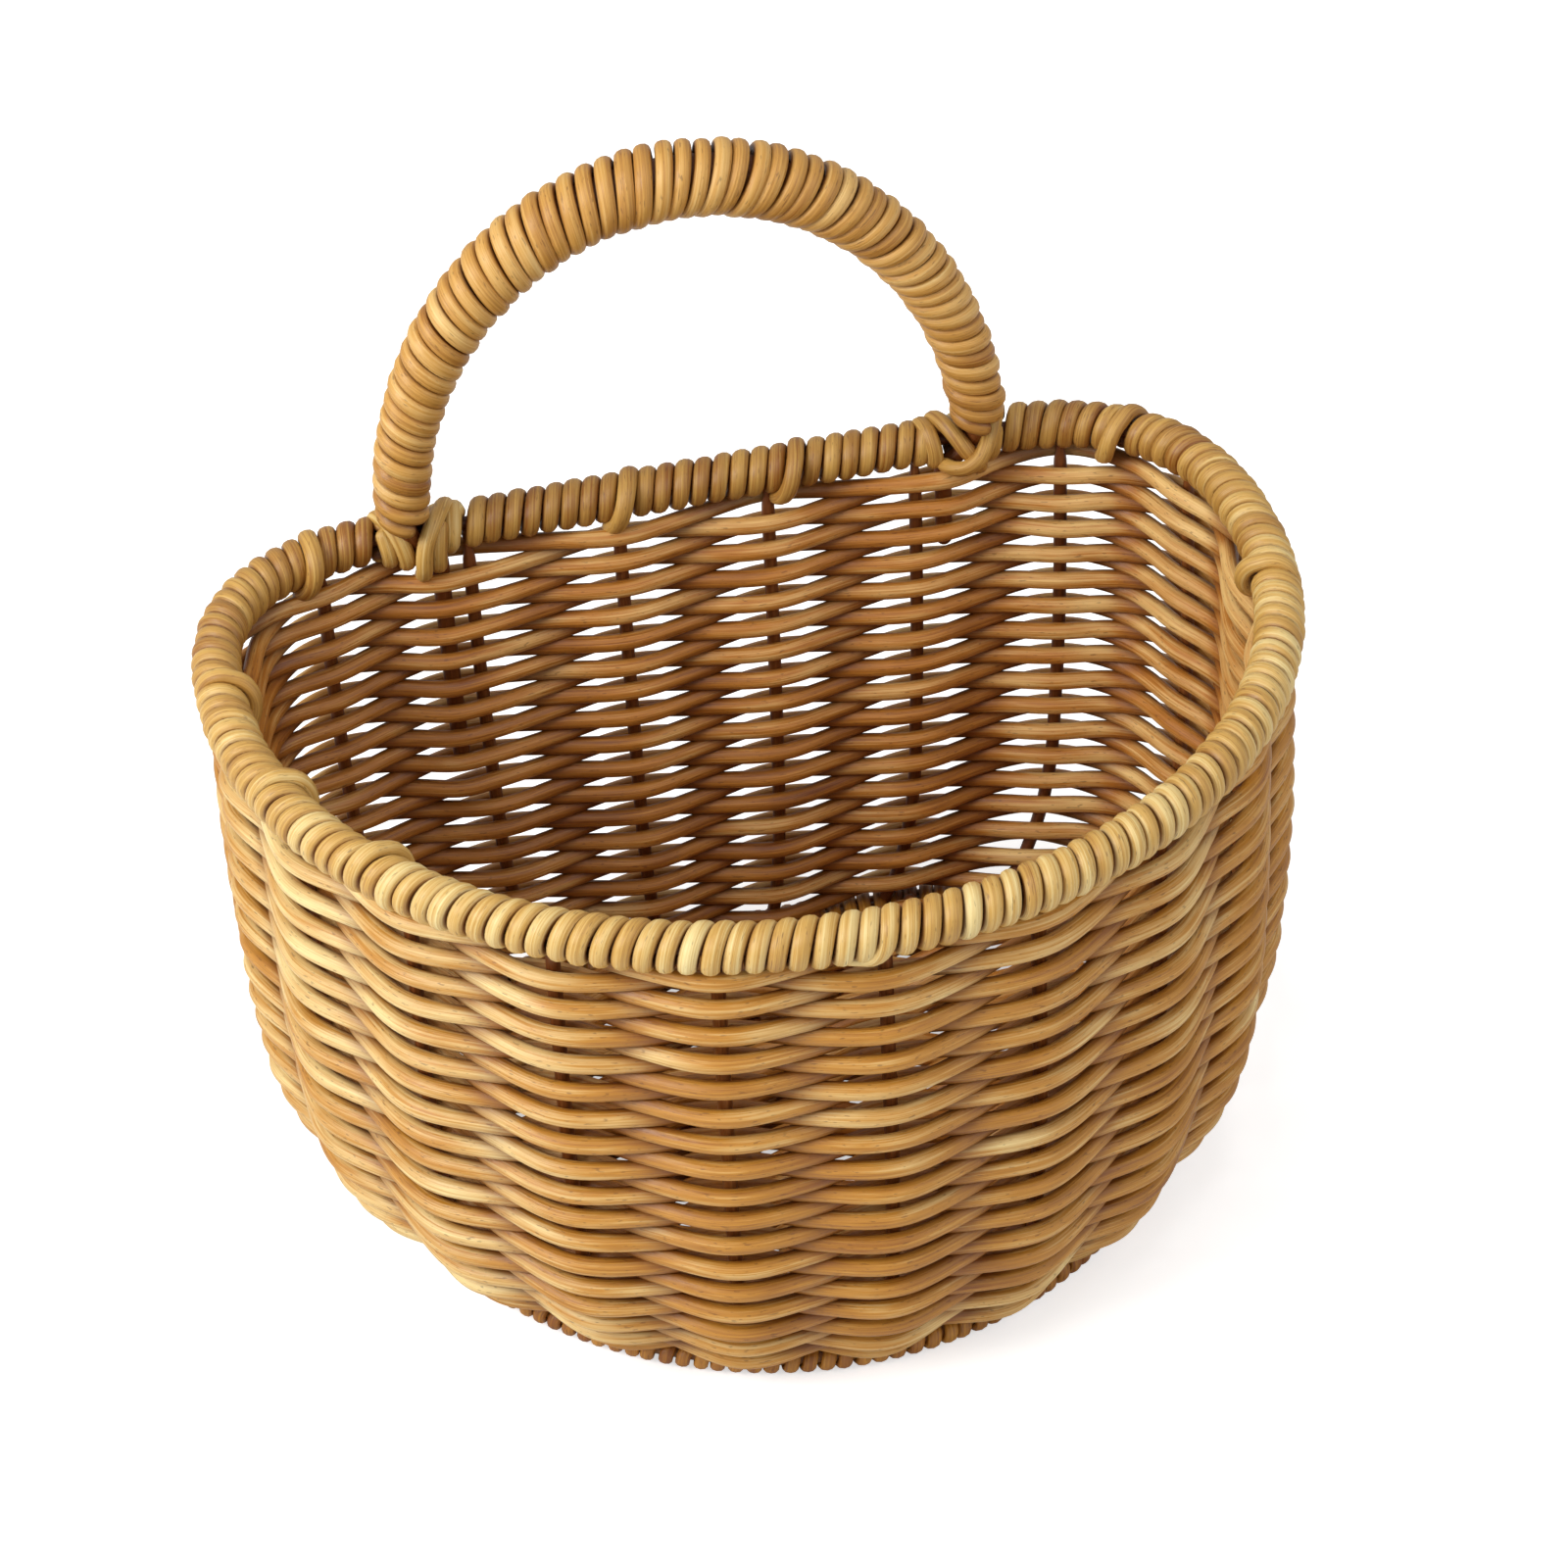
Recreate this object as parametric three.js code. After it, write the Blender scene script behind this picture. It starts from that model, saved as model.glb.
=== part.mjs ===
import * as THREE from "three";

// Wall basket of twined rattan: flat back, bowed front, wrapped rim and a wrapped hoop handle.
// Millimetres, +Z up, back towards +Y, origin on the floor under the middle of the basket's box.

// Outer sizes of the rim band and the height of its centre line
const overallWidth = 300;
const overallDepth = 220;
const rimHeight = 169;

// The D of the rim: straight back, rounded corners, elliptic front
const rimCornerWidth = 64;
const rimWidestBehind = 66;
const cornerPower = 2.6;

// The smaller D of the lowest row, on the line of the stakes, and how far it is drawn in from the rim
const sideDrawIn = 22.8;
const frontDrawIn = 19.5;
const baseCornerWidth = 85;
const baseWidestBehind = 50;
const bellyPower = 6.6;

// Canes
const rimCaneRadius = 2.3;
const rimCoreRadius = 2.5;
const rimWrapGap = 1.2;
const stakeRadius = 2;
const stakeTipRadius = 1.2;
const weaverRadius = 2.3;
const stakesPerSide = 9;
const stakeInset = 2.2;

// Handle
const handleBulge = 3.3;
const handleRise = 102.2;
const legRise = 7;
const legOutset = 4.6;
const legRadius = 3.5;
const crownRadius = 6;
const crownPower = 1.5;
const crownLean = 2.6;
const handleCaneRadius = 2.15;
const handleWrapGap = 0.95;
const pegRadius = 2.5;
const pegGap = 5;
const leftPegLength = 80;
const rightPegLength = 32;
const lashingSpread = 9;

// Foot, which stands inside the lowest row, and floor
const footHeight = 8;
const footWidth = 13.8;
const footInset = 6.3;
const footGap = 1;
const stakeLift = 0.8;
const floorStickRadius = 2.3;
const floorCaneRadius = 2.1;
const floorPitch = 9.3;
const floorEdgeGap = 45;
const floorSticksPerSide = 1;

// Clearances between pieces that touch
const clearance = 0.35;
const weaveClearance = 0.45;

// Counts
const wrapSteps = 6;
const caneSides = 3;
const sideRimStrands = 6;
const backRimStrands = 2;
const handleStarts = 2;
const strandsPerStart = 2;
const coreSides = 6;
const rimCoreSteps = 48;
const archSteps = 20;
const footSteps = 44;
const bendRows = [0, 1, 2, 4, 7];

// Half the side of the cane's three-cornered section, and its flat's distance from the middle
const fullTurn = 2 * Math.PI;
const quarterShare = 1 / 4;
const sideShare = Math.sin(fullTurn / caneSides);
const flatShare = Math.cos(Math.PI / caneSides);
const stepShare = Math.cos(Math.PI / wrapSteps);
const stakeCount = 2 * stakesPerSide + 1;

// A wrap's corners stand this far from the middle of its core, so that its sides clear the core
const wrapRadius = (core, cane) => (core + clearance + cane * flatShare) / stepShare;
const rimWrapRadius = wrapRadius(rimCoreRadius, rimCaneRadius);
const rimRadius = rimWrapRadius + rimCaneRadius;

const rimHalfWidth = overallWidth / 2 - rimRadius;
const rimHalfDepth = overallDepth / 2 - rimRadius;
const rimFlatHalf = rimHalfWidth - rimCornerWidth;
const baseHalfWidth = rimHalfWidth - sideDrawIn;
const baseFlatHalf = baseHalfWidth - baseCornerWidth;
const baseWidestLine = rimHalfDepth - baseWidestBehind;

// A closed D seen from above, from the middle of its back round by the left, with running lengths
function dOutline({ half, flat, back, widest, front }, steps) {
  const side = [new THREE.Vector2(0, back), new THREE.Vector2(flat, back)];
  for (let i = 1; i <= steps; i++) {
    const angle = (i / steps) * (Math.PI / 2);
    const x = flat + (half - flat) * Math.sin(angle) ** (2 / cornerPower);
    const y = widest + (back - widest) * Math.max(Math.cos(angle), 0) ** (2 / cornerPower);
    side.push(new THREE.Vector2(x, y));
  }
  for (let i = 1; i <= steps; i++) {
    const angle = (i / steps) * (Math.PI / 2);
    side.push(new THREE.Vector2(half * Math.cos(angle), widest - (widest - front) * Math.sin(angle)));
  }
  const left = side.map((point) => new THREE.Vector2(-point.x, point.y));
  const points = [...left, ...side.slice(0, -1).reverse()];
  const lengths = [0];
  for (let i = 1; i < points.length; i++) {
    lengths.push(lengths[i - 1] + points[i].distanceTo(points[i - 1]));
  }
  return { points, lengths, perimeter: lengths[lengths.length - 1] };
}

function pointAt(outline, share) {
  const length = (share - Math.floor(share)) * outline.perimeter;
  let i = 1;
  while (outline.lengths[i] < length) i++;
  const from = outline.lengths[i - 1];
  const t = (length - from) / (outline.lengths[i] - from);
  return outline.points[i - 1].clone().lerp(outline.points[i], t);
}

const outlineSteps = 90;
const probeShare = 0.002;
const rimOutline = dOutline({
  half: rimHalfWidth,
  flat: rimFlatHalf,
  back: rimHalfDepth,
  widest: rimHalfDepth - rimWidestBehind,
  front: -rimHalfDepth,
}, outlineSteps);

// Row heights: as many rows as fit between the foot and the rim band
const weaverHalfHeight = weaverRadius * sideShare;
const twistRise = weaverHalfHeight + weaveClearance / 2;
const rowHalfHeight = twistRise + weaverHalfHeight;
const firstRow = footHeight + footGap + rowHalfHeight;
const lastRow = rimHeight - rimRadius - clearance - rowHalfHeight;
const rowCount = Math.floor((lastRow - firstRow) / (2 * rowHalfHeight + clearance)) + 1;
const rowPitch = (lastRow - firstRow) / (rowCount - 1);
const rowHeight = (row) => firstRow + row * rowPitch;

// The wall: outlines at a few heights, straight between them as the stakes are
const bellyShare = (z) => ((rimHeight - z) / (rimHeight - firstRow)) ** bellyPower;

function wallOutline(z) {
  const drawnIn = bellyShare(z);
  const blend = (top, base) => top + (base - top) * drawnIn;
  return dOutline({
    half: blend(rimHalfWidth - stakeInset, baseHalfWidth),
    flat: blend(rimFlatHalf, baseFlatHalf),
    back: blend(rimHalfDepth - stakeInset, rimHalfDepth),
    widest: blend(rimHalfDepth - rimWidestBehind, baseWidestLine),
    front: blend(stakeInset - rimHalfDepth, frontDrawIn - rimHalfDepth),
  }, outlineSteps);
}

// At the rim a stake stands square inside the place that the rim gives it
function insetOutline(outline, inset) {
  const points = outline.lengths.map((length) => {
    const share = length / outline.perimeter;
    const along = pointAt(outline, share + probeShare).sub(pointAt(outline, share - probeShare));
    const inwards = new THREE.Vector2(-along.y, along.x).normalize();
    return pointAt(outline, share).addScaledVector(inwards, inset);
  });
  return { ...outline, points };
}

// The foot's D keeps to the back, and stands inside the lowest row at the sides and the front
const footOutline = dOutline({
  half: baseHalfWidth - footInset,
  flat: baseFlatHalf,
  back: rimHalfDepth,
  widest: baseWidestLine,
  front: frontDrawIn - rimHalfDepth + footInset,
}, outlineSteps);

const topOutline = insetOutline(rimOutline, stakeInset);
const bendHeights = bendRows.map(rowHeight);
const footTop = footHeight + footGap;
const wallHeights = [0, footTop, ...bendHeights, lastRow, rimHeight];
const wallOutlines = [footOutline, footOutline, ...bendHeights.map(wallOutline), topOutline, topOutline];

function wallPoint(share, z) {
  let i = 1;
  while (i < wallHeights.length - 1 && wallHeights[i] < z) i++;
  const t = (z - wallHeights[i - 1]) / (wallHeights[i] - wallHeights[i - 1]);
  const point = pointAt(wallOutlines[i - 1], share).lerp(pointAt(wallOutlines[i], share), t);
  return new THREE.Vector3(point.x, point.y, z);
}

function wallFrame(share, z) {
  const lift = rowPitch * probeShare;
  const along = wallPoint(share + probeShare, z).sub(wallPoint(share - probeShare, z)).normalize();
  const slope = wallPoint(share, z + lift).sub(wallPoint(share, z - lift));
  const out = new THREE.Vector3().crossVectors(along, slope).normalize();
  const up = new THREE.Vector3().crossVectors(out, along);
  return { point: wallPoint(share, z), along, out, up };
}

// Body from rings of equally many points, with flat ends or joined into a loop
function ringBody(rings, closed) {
  const sides = rings[0].length;
  const positions = rings.flat().flatMap((point) => [point.x, point.y, point.z]);
  const faces = [];
  const spans = closed ? rings.length : rings.length - 1;
  for (let i = 0; i < spans; i++) {
    const near = i * sides;
    const far = ((i + 1) % rings.length) * sides;
    for (let j = 0; j < sides; j++) {
      const next = (j + 1) % sides;
      faces.push([near + j, near + next, far + next], [near + j, far + next, far + j]);
    }
  }
  if (!closed) {
    const last = (rings.length - 1) * sides;
    for (let j = 1; j < sides - 1; j++) {
      faces.push([0, j + 1, j], [last, last + j, last + j + 1]);
    }
  }
  const corner = (index) => new THREE.Vector3().fromArray(positions, index * 3);
  let volume = 0;
  for (const [a, b, c] of faces) volume += corner(a).dot(corner(b).cross(corner(c)));
  if (volume < 0) faces.forEach((face) => face.reverse());
  const geometry = new THREE.BufferGeometry();
  geometry.setAttribute("position", new THREE.Float32BufferAttribute(positions, 3));
  geometry.setIndex(faces.flat());
  geometry.computeVertexNormals();
  return geometry;
}

// Ring of a section about a point, its first corner towards one direction
function ring(point, first, second, radius, sides) {
  return Array.from({ length: sides }, (_, j) => {
    const angle = (j / sides) * fullTurn;
    return point.clone()
      .addScaledVector(first, radius * Math.cos(angle))
      .addScaledVector(second, radius * Math.sin(angle));
  });
}

const caneRoughness = 0.55;
const colours = {
  rim: 0xd9c28a,
  weave: 0xc9a062,
  stake: 0x8a5a2c,
  handle: 0xcf9c58,
  core: 0x9a6b3a,
};
const basket = new THREE.Group();

function add(name, geometry, color) {
  const material = new THREE.MeshStandardMaterial({ color, roughness: caneRoughness, metalness: 0 });
  const mesh = new THREE.Mesh(geometry, material);
  mesh.name = name;
  basket.add(mesh);
}

const numbered = (name, index) => `${name}_${String(index + 1).padStart(2, "0")}`;

// Pegs: the ends of the handle's core, pushed down the weave beside a stake
const stakeShare = (index) => (index + 0.5) / stakeCount;
const pegOffsetShare = (stakeRadius + pegGap + pegRadius) / rimOutline.perimeter;
const leftPeg = { share: stakeShare(1) + pegOffsetShare, bottom: rimHeight - leftPegLength };
const rightPeg = { share: stakeShare(stakeCount - 2) - pegOffsetShare, bottom: rimHeight - rightPegLength };

// Posts that a row passes at a height; a peg and its stake stand between the same two crossings
function postGroups(z) {
  const groups = [];
  for (let i = 0; i < stakeCount; i++) {
    groups.push([{ share: stakeShare(i), radius: stakeRadius }]);
  }
  const reach = rowHalfHeight + clearance;
  if (z + reach > leftPeg.bottom) groups[1].push({ share: leftPeg.share, radius: pegRadius });
  if (z + reach > rightPeg.bottom) {
    groups[stakeCount - 2].unshift({ share: rightPeg.share, radius: pegRadius });
  }
  return groups;
}

// A row is one cane that runs twice round: outside a stake on one lap, inside it on the other
function weaveRow(z) {
  const groups = postGroups(z);
  const rings = [];
  const place = (share, outwards, upwards) => {
    const { point, out, up } = wallFrame(share, z);
    point.addScaledVector(out, outwards).addScaledVector(up, upwards);
    rings.push(ring(point, out, up, weaverRadius, caneSides));
  };
  for (let i = 0; i < 2 * stakeCount; i++) {
    const side = i % 2 === 0 ? 1 : -1;
    const group = groups[i % stakeCount];
    const next = groups[(i + 1) % stakeCount][0].share + ((i + 1) % stakeCount === 0 ? 1 : 0);
    for (const { share, radius } of group) {
      place(share, side * (radius + clearance + weaverRadius), 0);
    }
    place((group[group.length - 1].share + next) / 2, 0, side * twistRise);
  }
  return ringBody(rings, true);
}

for (let row = 0; row < rowCount; row++) {
  add(numbered("weave_row", row), weaveRow(rowHeight(row)), colours.weave);
}

// Stakes stand in holes of the foot and end in a thinner tip between two turns of the rim's wrap
const stakeSides = 4;
const tipStart = lastRow + rowHalfHeight;
const tipTop = rimHeight - rimCoreRadius - clearance;
const stakeLevels = [
  [stakeLift, stakeRadius],
  [footTop, stakeRadius],
  ...bendHeights.map((z) => [z, stakeRadius]),
  [lastRow + weaverHalfHeight, stakeRadius],
  [tipStart, stakeTipRadius],
  [tipTop, stakeTipRadius],
];
for (let i = 0; i < stakeCount; i++) {
  const rings = stakeLevels.map(([z, radius]) => {
    const { point, out, along } = wallFrame(stakeShare(i), z);
    return ring(point, out, along, radius, stakeSides);
  });
  add(numbered("stake", i), ringBody(rings, false), colours.stake);
}

// Rim: a hoop of cane
function rimFrame(length) {
  const share = length / rimOutline.perimeter;
  const flat = pointAt(rimOutline, share);
  const chord = pointAt(rimOutline, share + probeShare).sub(pointAt(rimOutline, share - probeShare));
  const along = new THREE.Vector3(chord.x, chord.y, 0).normalize();
  const up = new THREE.Vector3(0, 0, 1);
  const out = new THREE.Vector3().crossVectors(along, up);
  return { point: new THREE.Vector3(flat.x, flat.y, rimHeight), along, out, up };
}

const rimCoreRings = Array.from({ length: rimCoreSteps }, (_, i) => {
  const { point, out, up } = rimFrame((i / rimCoreSteps) * rimOutline.perimeter);
  return ring(point, out, up, rimCoreRadius, coreSides);
});
add("rim_core", ringBody(rimCoreRings, true), colours.core);

// One corner of a wrapping cane: its ridge points away from the core
function wrapRing(centre, first, second, along, angle, distance, cane) {
  const away = first.clone().multiplyScalar(Math.cos(angle)).addScaledVector(second, Math.sin(angle));
  return ring(centre.clone().addScaledVector(away, distance), away, along, cane, caneSides);
}

// Least gap between stretches of one cane that lie more than half a turn apart, on points
function leastGap(rings) {
  const parts = 4;
  const samples = [];
  for (let i = 0; i < rings.length - 1; i++) {
    for (let k = 0; k < parts; k++) {
      const points = rings[i].map((point, j) => point.clone().lerp(rings[i + 1][j], k / parts));
      points.forEach((point) => samples.push({ point, place: i + k / parts }));
    }
  }
  let least = Infinity;
  for (let a = 0; a < samples.length; a++) {
    for (let b = a + 1; b < samples.length; b++) {
      if (samples[b].place - samples[a].place > wrapSteps / 2) {
        least = Math.min(least, samples[a].point.distanceTo(samples[b].point));
      }
    }
  }
  return least;
}

function addWinding(name, rings, color) {
  console.log(`${name}: least gap to itself ${leastGap(rings).toFixed(2)} mm`);
  add(name, ringBody(rings, false), color);
}

// Rim wrap: a left-handed winding, whole turns to each gap between stakes
const rimCaneWidth = 2 * rimCaneRadius * sideShare;
const stakeGap = rimOutline.perimeter / stakeCount;
const turnsPerGap = Math.floor(stakeGap / (rimCaneWidth + rimWrapGap));
const rimPitch = stakeGap / turnsPerGap;
const rimStepSlant = rimPitch / (2 * wrapSteps);
const spread = Math.max(stakeTipRadius + clearance + rimCaneWidth / 2 + rimStepSlant - rimPitch / 2, 0);

// Below the core the turns nearest to a stake's tip move apart to let it through
function partedPlace(place) {
  const stake = (Math.floor(place / stakeGap) + 0.5) * stakeGap;
  const offset = place - stake;
  const fade = Math.max(1 - (Math.abs(offset) - rimPitch / 2) / (2 * rimPitch), 0);
  return Math.sign(offset) * spread * Math.min(fade, 1);
}

// The ends of a cane drop straight from the band's two sides to the top row
const tuckLength = rimRadius + clearance;

function withTucks(rings) {
  const drop = new THREE.Vector3(0, 0, -tuckLength);
  const lowered = (points) => points.map((point) => point.clone().add(drop));
  return [lowered(rings[0]), ...rings, lowered(rings[rings.length - 1])];
}

// Whole turns from the outer side, over the top, and a last half turn to the inner side
function rimStrand(firstTurn, lastTurn) {
  const rings = [];
  const steps = (lastTurn - firstTurn + 0.5) * wrapSteps;
  for (let i = 0; i <= steps; i++) {
    const turn = firstTurn + Math.floor(i / wrapSteps);
    const angle = ((i % wrapSteps) / wrapSteps) * fullTurn;
    const place = (firstTurn + i / wrapSteps - quarterShare) * rimPitch;
    const parted = Math.sin(angle) < -flatShare ? partedPlace((turn + 0.5) * rimPitch) : 0;
    const { point, along, out, up } = rimFrame(place + parted);
    rings.push(wrapRing(point, out, up, along, angle, rimWrapRadius, rimCaneRadius));
  }
  return withTucks(rings);
}

const pegSpread = -wallPoint(leftPeg.share, lastRow).x;
const legSpreadAtRim = pegSpread + legOutset;
const lashingPlace = (legSpreadAtRim + pegSpread) / 2;
const lashingZone = lashingSpread + rimCaneWidth + clearance;
const rimSpans = [
  [lashingPlace + lashingZone, rimOutline.perimeter - lashingPlace - lashingZone, sideRimStrands],
  [lashingZone - lashingPlace, lashingPlace - lashingZone, backRimStrands],
];
let rimStrandIndex = 0;
for (const [from, to, strands] of rimSpans) {
  const first = Math.ceil(from / rimPitch + quarterShare);
  const count = Math.floor(to / rimPitch - quarterShare) - first + 1;
  for (let i = 0; i < strands; i++) {
    const start = first + Math.round((i * count) / strands);
    const end = first + Math.round(((i + 1) * count) / strands) - 1;
    addWinding(numbered("rim_wrap", rimStrandIndex), rimStrand(start, end), colours.rim);
    rimStrandIndex++;
  }
}

// Lashings: a cane hooked over the rim on each side of a handle's leg, the two drawn together below
function lashing(legPlace, side) {
  const narrow = legRadius + rimCaneWidth + 2 * clearance;
  const rings = [];
  for (let i = 0; i <= wrapSteps / 2; i++) {
    const drawnIn = (i / (wrapSteps / 2)) ** 2;
    const place = legPlace + side * THREE.MathUtils.lerp(lashingSpread, narrow, drawnIn);
    const { point, along, out, up } = rimFrame(place);
    const angle = (i / wrapSteps) * fullTurn;
    rings.push(wrapRing(point, out, up, along, angle, rimWrapRadius, rimCaneRadius));
  }
  return ringBody(withTucks(rings), false);
}

for (const [name, legPlace] of [["left", lashingPlace], ["right", -lashingPlace]]) {
  add(`${name}_leg_lashing_outer`, lashing(legPlace, Math.sign(legPlace)), colours.rim);
  add(`${name}_leg_lashing_inner`, lashing(legPlace, -Math.sign(legPlace)), colours.rim);
}

// Handle: one tapered hoop whose ends pass in front of the rim's core and run down the weave
const handleHalfSpan = legSpreadAtRim + handleBulge;
const handleY = rimHalfDepth - rimCoreRadius - clearance - legRadius;
const archBase = rimHeight + legRise;
const archRise = handleRise - legRise;
const backwards = new THREE.Vector3(0, 1, 0);

// The arch at an angle, from the foot of the left leg over the crown, which leans to the left
function archFrame(angle) {
  const swell = Math.max(Math.sin(angle), 0) ** crownPower;
  const sine = Math.sin(angle);
  const cosine = Math.cos(angle);
  const x = -handleHalfSpan * cosine - crownLean * sine;
  const along = new THREE.Vector3(handleHalfSpan * sine - crownLean * cosine, 0, archRise * cosine);
  along.normalize();
  return {
    point: new THREE.Vector3(x, handleY, archBase + archRise * sine),
    along,
    away: new THREE.Vector3(-along.z, 0, along.x),
    radius: THREE.MathUtils.lerp(legRadius, crownRadius, swell),
  };
}

function pegRings(peg, side) {
  const outwards = new THREE.Vector3(side, 0, 0);
  const bend = lastRow + weaverHalfHeight + clearance;
  const heights = [peg.bottom, ...wallHeights.filter((z) => z > peg.bottom && z < bend), bend];
  const points = heights.map((z) => wallPoint(peg.share, z));
  points.push(new THREE.Vector3(side * legSpreadAtRim, handleY, tipTop));
  return points.map((point) => ring(point, outwards, backwards, pegRadius, coreSides));
}

const archRings = Array.from({ length: archSteps + 1 }, (_, i) => {
  const { point, away, radius } = archFrame((i / archSteps) * Math.PI);
  return ring(point, away, backwards, radius, coreSides);
});
const handleRings = [...pegRings(leftPeg, -1), ...archRings, ...pegRings(rightPeg, 1).reverse()];
add("handle_core", ringBody(handleRings, false), colours.core);

// Handle wrap: left-handed turns of two canes side by side, from just above the lashings
const handleCaneWidth = 2 * handleCaneRadius * sideShare;
const archSamples = 720;
const archLengths = [0];
for (let i = 1; i <= archSamples; i++) {
  const from = archFrame(((i - 1) / archSamples) * Math.PI).point;
  const to = archFrame((i / archSamples) * Math.PI).point;
  archLengths.push(archLengths[i - 1] + from.distanceTo(to));
}
const archLength = archLengths[archSamples];

function archAngle(length) {
  let i = 1;
  while (i < archSamples && archLengths[i] < length) i++;
  const t = (length - archLengths[i - 1]) / (archLengths[i] - archLengths[i - 1]);
  return ((i - 1 + t) / archSamples) * Math.PI;
}

const wrapStart = rimRadius + clearance + handleCaneWidth - legRise;
const wrapLength = archLength - 2 * wrapStart;
const windings = Math.floor(wrapLength / (handleCaneWidth + handleWrapGap));
const handleTurns = Math.floor(windings / handleStarts);
const handlePitch = wrapLength / handleTurns;

// A strand stops short of the next one, and each of its ends runs straight for one width of the cane
function handleStrand(firstTurn, lastTurn, startShare) {
  const steps = (lastTurn - firstTurn) * wrapSteps - 2;
  const corner = (i, straight) => {
    const angle = (i / wrapSteps + quarterShare + startShare) * fullTurn;
    const length = wrapStart + (firstTurn + i / wrapSteps) * handlePitch;
    const { point, along, away, radius } = archFrame(archAngle(length));
    const distance = wrapRadius(radius, handleCaneRadius);
    const onwards = away.clone().multiplyScalar(-Math.sin(angle)).addScaledVector(backwards, Math.cos(angle));
    point.addScaledVector(onwards, straight);
    return wrapRing(point, away, backwards, along, angle, distance, handleCaneRadius);
  };
  const rings = Array.from({ length: steps + 1 }, (_, i) => corner(i, 0));
  return [corner(0, -2 * handleCaneRadius), ...rings, corner(steps, 2 * handleCaneRadius)];
}

for (let i = 0; i < handleStarts * strandsPerStart; i++) {
  const part = Math.floor(i / handleStarts);
  const start = Math.round((part * handleTurns) / strandsPerStart);
  const end = Math.round(((part + 1) * handleTurns) / strandsPerStart);
  const rings = handleStrand(start, end, (i % handleStarts) / handleStarts);
  addWinding(numbered("handle_wrap", i), rings, colours.handle);
}

// Foot: a D-shaped ring with a flat underside and a hole for each stake
function offsetOutline(outline, offset, steps) {
  return Array.from({ length: steps }, (_, i) => {
    const share = i / steps;
    const along = pointAt(outline, share + probeShare).sub(pointAt(outline, share - probeShare)).normalize();
    const point = pointAt(outline, share);
    return new THREE.Vector2(point.x + along.y * offset, point.y - along.x * offset);
  });
}

const footInside = offsetOutline(footOutline, -footWidth / 2, footSteps);
const footShape = new THREE.Shape(offsetOutline(footOutline, footWidth / 2, footSteps));
footShape.holes.push(new THREE.Path(footInside));
const holeSides = 5;
for (let i = 0; i < stakeCount; i++) {
  const foot = wallPoint(stakeShare(i), stakeLift);
  const reach = (stakeRadius + clearance) / Math.cos(Math.PI / holeSides);
  const hole = Array.from({ length: holeSides }, (_, j) => {
    const angle = (j / holeSides) * fullTurn;
    return new THREE.Vector2(foot.x + reach * Math.cos(angle), foot.y + reach * Math.sin(angle));
  });
  footShape.holes.push(new THREE.Path(hole));
}
const footSolid = new THREE.ExtrudeGeometry(footShape, { depth: footHeight, bevelEnabled: false });
add("foot_ring", footSolid, colours.weave);

// Floor: sticks from the back of the foot to its front, and one cane woven to and fro across them
const edgeParts = 12;
const floorEdge = footInside.flatMap((point, i) => {
  const next = footInside[(i + 1) % footInside.length];
  return Array.from({ length: edgeParts }, (_, k) => point.clone().lerp(next, k / edgeParts));
});

// The floor's reach at a place: forwards and backwards of a strip about x, and sideways of one about y
function floorFront(x, halfWidth) {
  const near = floorEdge.filter((point) => Math.abs(point.x - x) < halfWidth && point.y < baseWidestLine);
  return Math.max(...near.map((point) => point.y)) + clearance;
}

function floorRear(x, halfWidth) {
  const near = floorEdge.filter((point) => Math.abs(point.x - x) < halfWidth && point.y > baseWidestLine);
  return Math.min(...near.map((point) => point.y)) - clearance;
}

function floorSide(y, halfWidth) {
  const near = floorEdge.filter((point) => Math.abs(point.y - y) < halfWidth && point.x > 0);
  return Math.min(...near.map((point) => point.x)) - clearance;
}

const floorWave = floorStickRadius + clearance + floorCaneRadius;
const floorMiddle = floorWave + floorCaneRadius + clearance;
const floorStickGap = (baseHalfWidth - footWidth / 2 - floorEdgeGap) / floorSticksPerSide;
const stickPlaces = [];
for (let i = -floorSticksPerSide; i <= floorSticksPerSide; i++) stickPlaces.push(i * floorStickGap);
stickPlaces.forEach((x, index) => {
  const rear = floorRear(x, floorPitch);
  const length = rear - floorFront(x, floorPitch);
  const stick = new THREE.CylinderGeometry(floorStickRadius, floorStickRadius, length, coreSides);
  stick.translate(x, rear - length / 2, floorMiddle);
  add(numbered("floor_stick", index), stick, colours.stake);
});

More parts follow.
